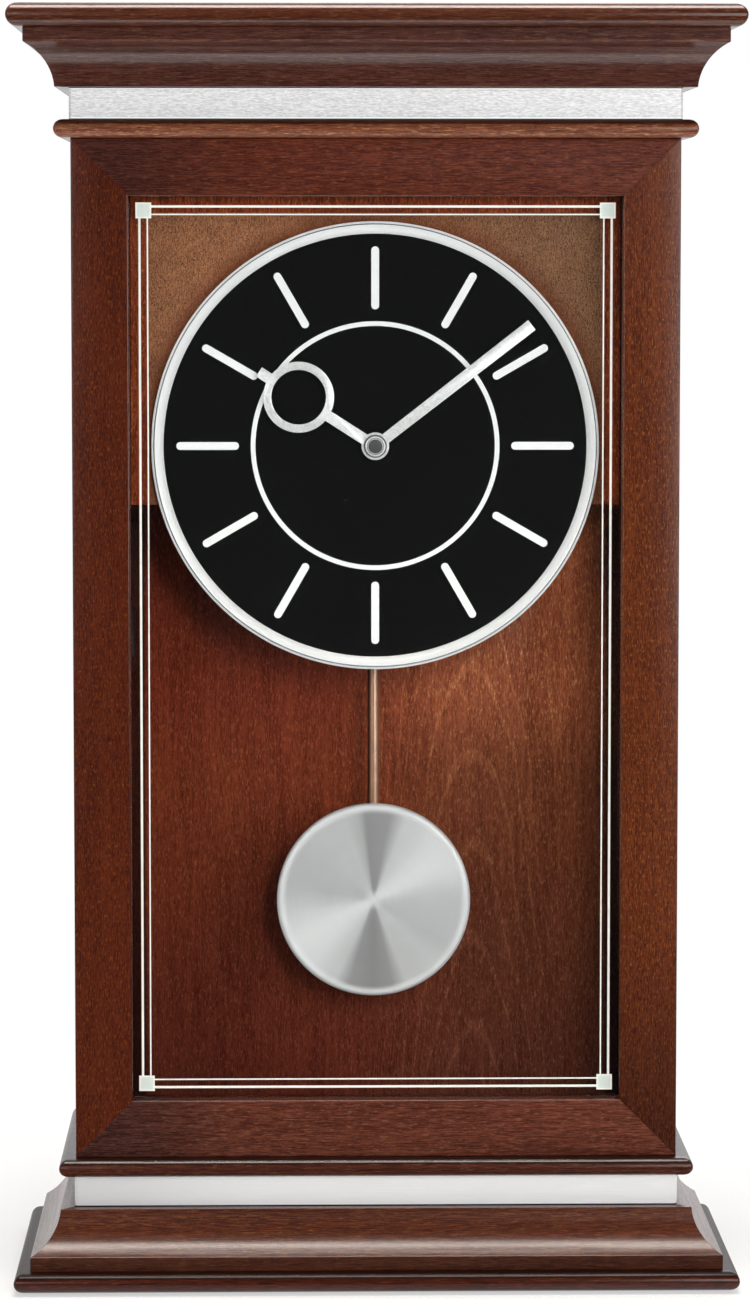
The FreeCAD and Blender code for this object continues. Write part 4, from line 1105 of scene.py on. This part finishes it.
def bezel_profile():
    """Section of the bezel: thin outer rim, dark groove, rounded main ring and inner lip."""
    outer = high("bezel").x
    height = DIAL_BOARD_FRONT - low("bezel").y
    rim_inner = outer - BEZEL_RIM
    main_outer = rim_inner - BEZEL_GROOVE
    face = main_outer - BEZEL_MAIN
    crown = ((face + main_outer) / 2, (LIP_HEIGHT + height) / 2 + BEZEL_CROWN)
    ring = [(point, 0) for point in arc_through((face, LIP_HEIGHT), crown, (main_outer, height), 10)]
    return eased([
        ((outer - BEZEL_LEDGE, 0), 0),
        ((outer, 0), 0.1 * MM),
        ((outer, RIM_HEIGHT - 0.35 * MM), 0.2 * MM),
        ((rim_inner, RIM_HEIGHT), 0.1 * MM),
        ((rim_inner, GROOVE_HEIGHT), 0.1 * MM),
        ((main_outer, GROOVE_HEIGHT), 0.1 * MM),
        ((main_outer, height), 0.18 * MM),
    ] + ring[::-1] + [
        ((face, LIP_HEIGHT), 0.08 * MM),
        ((face, PLATE_HEIGHT), 0),
        ((outer - BEZEL_LEDGE, PLATE_HEIGHT), 0),
    ])


def bob_profile():
    """Half section of the bob: slightly dished face and rounded rim."""
    radius = high("bob").x
    back_edge = 0.3 * MM
    thickness = high("bob").y - low("bob").y
    face = radius - BOB_RIM_WIDTH
    shoulder = thickness - BOB_RIM_DROP
    diagonal = math.sqrt(0.5)
    middle = (face + BOB_RIM_WIDTH * diagonal, shoulder + BOB_RIM_DROP * diagonal)
    rim = arc_through((face, thickness), middle, (radius, shoulder), 8)
    dish = [(r, thickness - BOB_DISH * (1 - (r / face) ** 2)) for r in (face * i / 12 for i in range(12))]
    back = [(0, 0), (radius - back_edge, 0), (radius, back_edge), (radius, shoulder)]
    return back + rim[::-1] + [(face, thickness)] + dish[::-1]


def knob_profile(node):
    """Neck and rounded head of the door knob."""
    radius = (high(node).x - low(node).x) / 2
    length = high(node).y - low(node).y
    neck, head, rise, round_under = 2.6 * MM, 3.0 * MM, 2.6 * MM, 0.4 * MM
    foot = [(0, 0), (neck + 1.0 * MM, 0), (neck + 0.8 * MM, 0.5 * MM), (neck, 1.0 * MM)]
    waist = [(neck, head - 0.3 * MM), (neck + 0.3 * MM, head)]
    shoulder = [(radius - round_under, head), (radius, head + round_under)]
    dome = [(radius * math.sin(a), length - rise + rise * math.cos(a))
            for a in (math.pi / 2 * i / 10 for i in range(11))]
    return foot + waist + shoulder + dome[::-1]


def nut_profile(node):
    """Domed nut with a small flat on top."""
    radius = (high(node).x - low(node).x) / 2
    length = high(node).y - low(node).y
    flat, side = 0.35, 0.45
    dome = [(radius * (flat + (1 - flat) * math.sin(a)), length * (side + (1 - side) * math.cos(a)))
            for a in (math.pi / 2 * i / 8 for i in range(9))]
    return [(0, 0), (radius, 0)] + dome[::-1] + [(0, length)]


def slotted_head(name, centre, radius, height, slot, angle):
    """Domed screw head with a slot, its axis along Y and its face to the rear."""
    maker = bmesh.new()
    count = 17
    span = math.acos(slot / (2 * radius))
    for side in (1, -1):
        rows = []
        for scale, rise in ((1.0, 0.0), (1.0, 0.5), (0.9, 0.85), (0.7, 1.0)):
            row = []
            for i in range(count):
                a = span * (2 * i / (count - 1) - 1)
                x, y = radius * scale * math.cos(a), radius * scale * math.sin(a)
                row.append(maker.verts.new((max(x, slot / 2) * side, y * side, rise * height)))
            rows.append(row)
        for row, following in zip(rows, rows[1:]):
            close_ring(maker, row, following)
        maker.faces.new(rows[-1])
        maker.faces.new(rows[0][::-1])
    floor_angles = [math.pi * i / 16 for i in range(32)]
    floor_radius = radius * 0.98
    floor = [(floor_radius * math.cos(a), floor_radius * math.sin(a)) for a in floor_angles]
    base = [maker.verts.new((x, y, 0)) for x, y in floor]
    lid = [maker.verts.new((x, y, height * 0.3)) for x, y in floor]
    close_ring(maker, base, lid)
    maker.faces.new(lid)
    maker.faces.new(base[::-1])
    bmesh.ops.recalc_face_normals(maker, faces=maker.faces)
    piece = piece_from(name, maker)
    to_rear = Matrix.Rotation(-math.pi / 2, 4, "X")
    piece.matrix_world = Matrix.Translation(centre) @ to_rear @ Matrix.Rotation(angle, 4, "Z")
    return piece


# Operators, one for each group of pieces

class CLOCK_OT_boards(bpy.types.Operator):
    """Base, cap and bead boards with their half-round noses, and the felt"""

    bl_idname = "clock.boards"
    bl_label = "Boards"
    bl_options = {"REGISTER", "UNDO"}

    def execute(self, context):
        settings = context.scene.clock_wood
        cap = partial(cap_finish, toned(settings.stain, 0.87, 0.90, 0.78), settings.lacquer)
        stands_for(nosed_board("cap_board"), "cap_board", finish("cap_board_walnut", cap))
        beads = {
            "upper_bead_board": ((2.3, 3.2, 3.4), 0.1),
            "lower_bead_board": ((0.76, 0.78, 0.83), 0.7),
            "base_board": ((0.60, 0.36, 0.18), 0.25),
        }
        for seed, (node, (tone, sheen)) in enumerate(beads.items(), 6):
            shaded = partial(painted_shade_bead, node, seed, toned(settings.stain, *tone), sheen, settings.lacquer)
            stands_for(nosed_board(node), node, finish(f"shaded_{node}", shaded))
        soften("base_felt", settings.edge, finish("black_felt", felt))
        return {"FINISHED"}


class CLOCK_OT_mouldings(bpy.types.Operator):
    """Base and crown mouldings, mitred at the front corners, and the rails that close them at the rear"""

    bl_idname = "clock.mouldings"
    bl_label = "Mouldings"
    bl_options = {"REGISTER", "UNDO"}

    def execute(self, context):
        base_wide, base_narrow = low("base_moulding_front").z, high("base_moulding_front").z
        crown_wide, crown_narrow = high("crown_moulding_front").z, low("crown_moulding_front").z
        self.runs(context, "base", (base_wide, base_wide + FASCIA_HEIGHT, base_narrow),
                  base_cove, (1.0, 1.0, 0.75), 1.5, 10)
        self.runs(context, "crown", (crown_wide, crown_wide - FASCIA_HEIGHT, crown_narrow),
                  crown_cove, (0.82, 1.08, 1.6), 1.0, 15)
        return {"FINISHED"}

    def runs(self, context, name, heights, cove, tone, softer, seed):
        """Front, left and right runs of one moulding, and its rear rail."""
        settings = context.scene.clock_wood
        stain = toned(settings.stain, *tone)
        section = moulding_section(*heights, f"{name}_moulding_front")
        for side, word in ((0, "front"), (-1, "left"), (1, "right")):
            node = f"{name}_moulding_{word}"
            if side:
                grain, place = "Y", seed + 2 + side
                piece = side_moulding(node, section, settings.mitre, side)
            else:
                grain, place = "X", seed
                piece = front_moulding(node, section, settings.mitre)
            veneer = partial(cove, grain, place, stain, softer * settings.lacquer)
            stands_for(piece, node, finish(f"{node}_walnut", veneer))
        soften(f"{name}_rear_rail", settings.edge, wood(context, "X", seed + 4))


class CLOCK_OT_bands(bpy.types.Operator):
    """Aluminium bands and the plinth boards they are bent round"""

    bl_idname = "clock.bands"
    bl_label = "Bands"
    bl_options = {"REGISTER", "UNDO"}

    def execute(self, context):
        metal = context.scene.clock_metal.aluminium
        stands_for(bent_band("upper_band"), "upper_band",
                   finish("speckled_aluminium", partial(speckled_band, metal)))
        stands_for(bent_band("lower_band"), "lower_band",
                   finish("satin_aluminium", partial(satin_band, metal)))
        for node in ("lower_plinth", "upper_plinth"):
            soften(node, 0.1 * MM, wood(context, "X", 20))
        return {"FINISHED"}


class CLOCK_OT_case(bpy.types.Operator):
    """Side panels of the case"""

    bl_idname = "clock.case"
    bl_label = "Side panels"
    bl_options = {"REGISTER", "UNDO"}

    def execute(self, context):
        edge = context.scene.clock_wood.edge
        for seed, node in ((21, "side_panel_left"), (22, "side_panel_right")):
            soften(node, edge, wood(context, "Z", seed, (1.05, 1.05, 1.05), 1.4))
        return {"FINISHED"}


class CLOCK_OT_front_frame(bpy.types.Operator):
    """Stiles and rails of the front frame, mitred at the corners"""

    bl_idname = "clock.front_frame"
    bl_label = "Front frame"
    bl_options = {"REGISTER", "UNDO"}

    def execute(self, context):
        settings = context.scene.clock_wood
        groove = settings.mitre
        # The right stile's lighter, more orange tone than the left's is partly real colour variation and
        # partly painted light from the right.
        stands_for(stile("frame_stile_left", -1, groove), "frame_stile_left",
                   wood(context, "Z", 25, (0.90, 0.58, 0.24)))
        right = partial(stile_darker_at_foot, 26, toned(settings.stain, 1.28, 1.10, 0.48), settings.lacquer)
        stands_for(stile("frame_stile_right", 1, groove), "frame_stile_right",
                   finish("frame_stile_right_walnut", right))
        rails = {
            "frame_rail_top": (high("frame_rail_top").z, -1, (1.25, 1.12, 1.15)),
            "frame_rail_bottom": (low("frame_rail_bottom").z, 1, (1.33, 1.5, 1.8)),
        }
        for seed, (node, (outer, inward, tone)) in enumerate(rails.items(), 27):
            veneer = partial(rail_with_painted_shade, seed, toned(settings.stain, *tone), settings.lacquer)
            stands_for(rail(node, outer, inward, groove), node, finish(f"{node}_walnut", veneer))
        return {"FINISHED"}


class CLOCK_OT_glass(bpy.types.Operator):
    """Glass pane, its printed border and the stops that hold it"""

    bl_idname = "clock.glass"
    bl_label = "Glass"
    bl_options = {"REGISTER", "UNDO"}

    def execute(self, context):
        paint_node("glass_pane", finish("clear_glass", clear_glass))
        paint_node("glass_border", finish("border_print", border_print))
        # The glass stops get a dark tone, partly painted shade for the shadowed strip inside the frame's
        # opening.
        soften("glass_stops", 0.15 * MM, wood(context, "Z", 29, (0.4, 0.35, 0.35)))
        return {"FINISHED"}


class CLOCK_OT_dial(bpy.types.Operator):
    """Dial board, dial plate with its print, and the turned bezel"""

    bl_idname = "clock.dial"
    bl_label = "Dial"
    bl_options = {"REGISTER", "UNDO"}

    def execute(self, context):
        settings = context.scene.clock_wood
        dial = context.scene.clock_dial
        metal = context.scene.clock_metal
        border = toned(settings.stain, 3.9, 3.1, 2.0)
        veneer = partial(dial_veneer, settings.dial_veneer, border, settings.lacquer)
        soften("dial_board", 0.2 * MM, finish("dial_board_veneer", veneer))
        soften("dial_cleats", 0.2 * MM, finish("raw_softwood", partial(raw_wood, "Z", 33)))
        paint_node("dial_board_screws", finish("zinc_screws", partial(plated, ZINC, 0.32, 35)))
        paint_node("dial_plate", finish("gloss_dial", partial(gloss_black, dial.plate)))
        paint_node("dial_markings", finish("white_dial_print", partial(printed, dial.print_white, 83)))
        centre = Vector((0, DIAL_BOARD_FRONT, DIAL_Z))
        bezel = turned("bezel_turned", bezel_profile(), metal.turning_segments, centre)
        stands_for(bezel, "bezel", finish("polished_aluminium", partial(bezel_finish, metal.aluminium)))
        return {"FINISHED"}


class CLOCK_OT_hands(bpy.types.Operator):
    """Hour hand, minute hand and the nut that holds them"""

    bl_idname = "clock.hands"
    bl_label = "Hands"
    bl_options = {"REGISTER", "UNDO"}

    def execute(self, context):
        edge = context.scene.clock_dial.hand_edge
        satin = finish("satin_hands", partial(hand_finish, context.scene.clock_metal.aluminium))
        for node in ("hour_hand", "minute_hand"):
            soften(node, edge, satin)
        centre = Vector((0, high("hand_nut").y, DIAL_Z))
        nut = turned("hand_nut_turned", nut_profile("hand_nut"), 64, centre)
        stands_for(nut, "hand_nut", finish("dark_plated_nut", partial(plated, DARK_PLATING, 0.5, 37)))
        return {"FINISHED"}


class CLOCK_OT_pendulum(bpy.types.Operator):
    """Hanger, rod, bob and clip"""

    bl_idname = "clock.pendulum"
    bl_label = "Pendulum"
    bl_options = {"REGISTER", "UNDO"}

    def execute(self, context):
        metal = context.scene.clock_metal
        centre = Vector((0, high("bob").y, BOB_Z))
        bob = turned("bob_turned", bob_profile(), metal.turning_segments, centre)
        stands_for(bob, "bob", finish("spun_aluminium_bob", partial(spun_bob, metal.aluminium)))
        soften("pendulum_rod", 0.1 * MM, finish("bronzed_rod", partial(bronzed, metal.rod)))
        zinc = finish("zinc_clip", partial(plated, ZINC, 0.3, 43))
        soften("bob_clip", 0.2 * MM, zinc)
        paint_node("hanger_pin", zinc)
        paint_node("pendulum_hanger", finish("white_moulding", partial(moulded, IVORY_PLASTIC, 0.42, 45)))
        paint_node("hanger_magnet", finish("sintered_magnet", partial(plated, SINTERED, 0.5, 47)))
        return {"FINISHED"}


class CLOCK_OT_movement(bpy.types.Operator):
    """Quartz pendulum movement with its battery"""

    bl_idname = "clock.movement"
    bl_label = "Movement"
    bl_options = {"REGISTER", "UNDO"}

    def execute(self, context):
        metal = context.scene.clock_metal
        black = finish("black_moulding", partial(moulded, BLACK_PLASTIC, 0.45, 49))
        white = finish("white_moulding", partial(moulded, IVORY_PLASTIC, 0.42, 45))
        copper = finish("copper_winding_wire", winding)
        finishes = {
            "movement_front_plate": black,
            "movement_housing": black,
            "setting_knob": black,
            "minute_arbor": white,
            "hour_wheel": white,
            "intermediate_wheel": white,
            "mounting_nut": finish("turned_brass", partial(plated, metal.brass, 0.28, 57)),
            "circuit_board": finish("solder_mask", circuit_mask),
            "motor_core": finish("stamped_steel", partial(plated, STEEL, 0.38, 59)),
            "motor_coil": copper,
            "pendulum_coil": copper,
            "battery": finish("battery_sleeve", battery_sleeve),
            "battery_contacts": finish("nickel_strip", partial(plated, NICKEL, 0.25, 63)),
        }
        for node, material in finishes.items():
            paint_node(node, material)
        return {"FINISHED"}


class CLOCK_OT_rear_door(bpy.types.Operator):
    """Rear door with its hinges, knob and magnetic catch"""

    bl_idname = "clock.rear_door"
    bl_label = "Rear door"
    bl_options = {"REGISTER", "UNDO"}

    def execute(self, context):
        settings = context.scene.clock_wood
        metal = context.scene.clock_metal
        veneer = partial(door_veneer, settings.panel_stain, settings.lacquer)
        soften("rear_door", settings.edge, finish("door_veneer", veneer))
        brass = finish("hinge_brass", partial(plated, metal.brass, 0.30, 65))
        for node in ("hinge_case_leaves", "hinge_door_leaves"):
            paint_node(node, brass)
        self.hinge_screws(brass)
        centre = (low("door_knob") + high("door_knob")) / 2
        centre.y = low("door_knob").y
        knob = turned("door_knob_turned", knob_profile("door_knob"), 96, centre, 1)
        stands_for(knob, "door_knob", finish("knob_brass", partial(plated, metal.brass, 0.22, 67)))
        soften("door_catch", 0.3 * MM, finish("dark_catch", partial(moulded, CATCH_PLASTIC, 0.5, 69)))
        paint_node("catch_plate", finish("zinc_plate", partial(plated, ZINC, 0.3, 73)))
        return {"FINISHED"}

    def hinge_screws(self, brass):
        """Two slotted screws in each leaf, clear of the knuckle."""
        leaf_thickness, from_edge, half_leaf, half_pitch = 0.8 * MM, 2.1 * MM, 9.5 * MM, 6.5 * MM
        radius, height, slot = 1.35 * MM, 0.35 * MM, 0.4 * MM
        leaf_face = low("hinge_door_leaves").y + leaf_thickness
        middle = (low("hinge_case_leaves").z + high("hinge_case_leaves").z) / 2
        to_hinge = high("hinge_case_leaves").z - half_leaf - middle
        rows = {
            "hinge_case_leaves": high("hinge_case_leaves").x - from_edge,
            "hinge_door_leaves": low("hinge_door_leaves").x + from_edge,
        }
        number = 0
        for node, x in rows.items():
            for hinge_z in (middle - to_hinge, middle + to_hinge):
                for z in (hinge_z - half_pitch, hinge_z + half_pitch):
                    number += 1
                    place = (x, leaf_face, z)
                    head = slotted_head(f"hinge_screw_{number}", place, radius, height, slot, number * 1.1)
                    added(head, node, brass)


class CLOCK_OT_stage(bpy.types.Operator):
    """Floor, white surroundings, lamps and camera"""

    bl_idname = "clock.stage"
    bl_label = "Stage"
    bl_options = {"REGISTER", "UNDO"}

    def execute(self, context):
        scene = context.scene
        settings = scene.clock_stage
        self.floor()
        self.surroundings(scene, settings)
        self.lamp(scene, "key_lamp", (0.76, -1.40, 0.40), (0.70, 0.70), settings.key_watts)
        self.lamp(scene, "fill_lamp", (-0.72, -1.40, 0.45), (0.60, 0.70), settings.fill_watts)
        front = self.lamp(scene, "front_lamp", (0.17, -1.54, 0.46), (0.16, 0.26), settings.front_watts)
        front.visible_glossy = False
        front.visible_transmission = False
        top = self.lamp(scene, "top_lamp", (0.0, -0.16, 1.40), (0.7, 0.50), settings.top_watts)
        top.data.color = WARM_WHITE
        self.lamp(scene, "back_lamp", (0.4, 1.5, 1.1), (1.2, 1.0), settings.back_watts)
        card = self.lamp(scene, "card_lamp", (0.0, -0.17, 0.002), (0.90, 0.18), settings.card_watts)
        card.data.spread = math.radians(100)
        card.rotation_euler = (math.pi, 0, 0)
        self.camera(scene, settings)
        scene.view_settings.view_transform = "Standard"
        return {"FINISHED"}

    def lamp(self, scene, name, place, size, watts):
        """Soft rectangular lamp that the camera doesn't see, turned towards the middle of the clock."""
        middle = Vector((0, 0, 0.2))
        data = bpy.data.lights.new(name, "AREA")
        data.shape = "RECTANGLE"
        data.size, data.size_y = size
        data.energy = watts
        holder = bpy.data.objects.new(name, data)
        scene.collection.objects.link(holder)
        holder.location = place
        holder.visible_camera = False
        holder.rotation_euler = (middle - Vector(place)).to_track_quat("-Z", "Y").to_euler()
        return holder

    def floor(self):
        """Pale floor under, beside and behind the clock."""
        front, rear, side = -0.42, 6.0, 4.0
        corners = ((-side, front, 0), (side, front, 0), (side, rear, 0), (-side, rear, 0))
        maker = bmesh.new()
        maker.faces.new([maker.verts.new(corner) for corner in corners])
        piece = piece_from("floor", maker)
        paint(piece, finish("pale_floor", self.paper))

    def paper(self, start):
        """Pale paper that keeps the clock's shadow and turns plain white farther out."""
        x, y = start.axes("XY")
        far = distance(x, y).step(0.14, 0.40)
        camera, reflected = self.seen_rays(start)
        paper = start.node("ShaderNodeBsdfDiffuse", None, {"Color": (0.85, 0.85, 0.85)})
        before = y.step(-45 * MM, -75 * MM)
        light = start.mix(reflected * before, WHITE, DIM)
        white = start.node("ShaderNodeEmission", None, {"Color": light, "Strength": 1.0})
        share = camera * (0.5 + 0.5 * far) + reflected * (0.6 + 0.4 * before)
        return start.node("ShaderNodeMixShader", None, {0: share, 1: paper, 2: white})

    def seen_rays(self, start):
        """1 for camera rays, and 1 for rays that a gloss or the glass sends on."""
        outputs = start.node("ShaderNodeLightPath").socket.node.outputs
        camera, glossy, transmission = (Wire(start.tree, outputs[f"Is {kind} Ray"])
                                        for kind in ("Camera", "Glossy", "Transmission"))
        return camera, start.maths("MAXIMUM", glossy, transmission)

    def surroundings(self, scene, settings):
        """White to the eye and in reflections, dimmer in the reflections of what stands before the clock."""
        world = bpy.data.worlds.new("studio")
        scene.world = world
        world.use_nodes = True
        world.node_tree.nodes.clear()
        start = Wire(world.node_tree)
        camera, sent_on = self.seen_rays(start)
        direction = start.node("ShaderNodeTexCoord", None, None, "Generated")
        forward = start.node("ShaderNodeSeparateXYZ", None, {0: direction}, "Y")
        reflected = start.mix(forward.step(-0.45, 0.20), DIM, WHITE)
        ambient = (settings.ambient,) * 3
        light = start.mix(sent_on, ambient, reflected)
        light = start.mix(camera, light, WHITE)
        background = start.node("ShaderNodeBackground", None, {"Color": light, "Strength": 1.0})
        start.node("ShaderNodeOutputWorld", None, {"Surface": background})

    def camera(self, scene, settings):
        """Camera at the photograph's viewing angle."""
        data = bpy.data.cameras.new("photo_view")
        data.lens = settings.lens
        data.sensor_width = 36.0
        data.clip_start = 0.05
        data.clip_end = 20.0
        holder = bpy.data.objects.new("photo_view", data)
        scene.collection.objects.link(holder)
        holder.location = settings.camera_place
        holder.rotation_euler = (math.pi / 2 - settings.camera_pitch, 0, -settings.camera_yaw)
        scene.camera = holder


OPERATORS = (
    CLOCK_OT_boards,
    CLOCK_OT_mouldings,
    CLOCK_OT_bands,
    CLOCK_OT_case,
    CLOCK_OT_front_frame,
    CLOCK_OT_glass,
    CLOCK_OT_dial,
    CLOCK_OT_hands,
    CLOCK_OT_pendulum,
    CLOCK_OT_movement,
    CLOCK_OT_rear_door,
    CLOCK_OT_stage,
)

SETTINGS = {
    "clock_wood": WoodSettings,
    "clock_metal": MetalSettings,
    "clock_dial": DialSettings,
    "clock_stage": StageSettings,
}


class CLOCK_PT_panel(bpy.types.Panel):
    """The clock's groups of pieces and their settings"""

    bl_idname = "CLOCK_PT_panel"
    bl_label = "Desk pendulum clock"
    bl_space_type = "VIEW_3D"
    bl_region_type = "UI"
    bl_category = "Clock"

    def draw(self, context):
        for operator in OPERATORS:
            self.layout.operator(operator.bl_idname)
        for name in SETTINGS:
            settings = getattr(context.scene, name)
            box = self.layout.box()
            for field in settings.__annotations__:
                box.prop(settings, field)


CLASSES = (*SETTINGS.values(), *OPERATORS, CLOCK_PT_panel)


def register():
    """Register the classes and give the scene its settings."""
    for group in CLASSES:
        bpy.utils.register_class(group)
    for name, group in SETTINGS.items():
        setattr(bpy.types.Scene, name, PointerProperty(type=group))


def unregister():
    """Take the settings and the classes away again."""
    for name in SETTINGS:
        delattr(bpy.types.Scene, name)
    for group in reversed(CLASSES):
        bpy.utils.unregister_class(group)


def main():
    """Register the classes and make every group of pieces."""
    register()
    for operator in OPERATORS:
        group, name = operator.bl_idname.split(".")
        getattr(getattr(bpy.ops, group), name)()


if __name__ == "__main__":
    main()
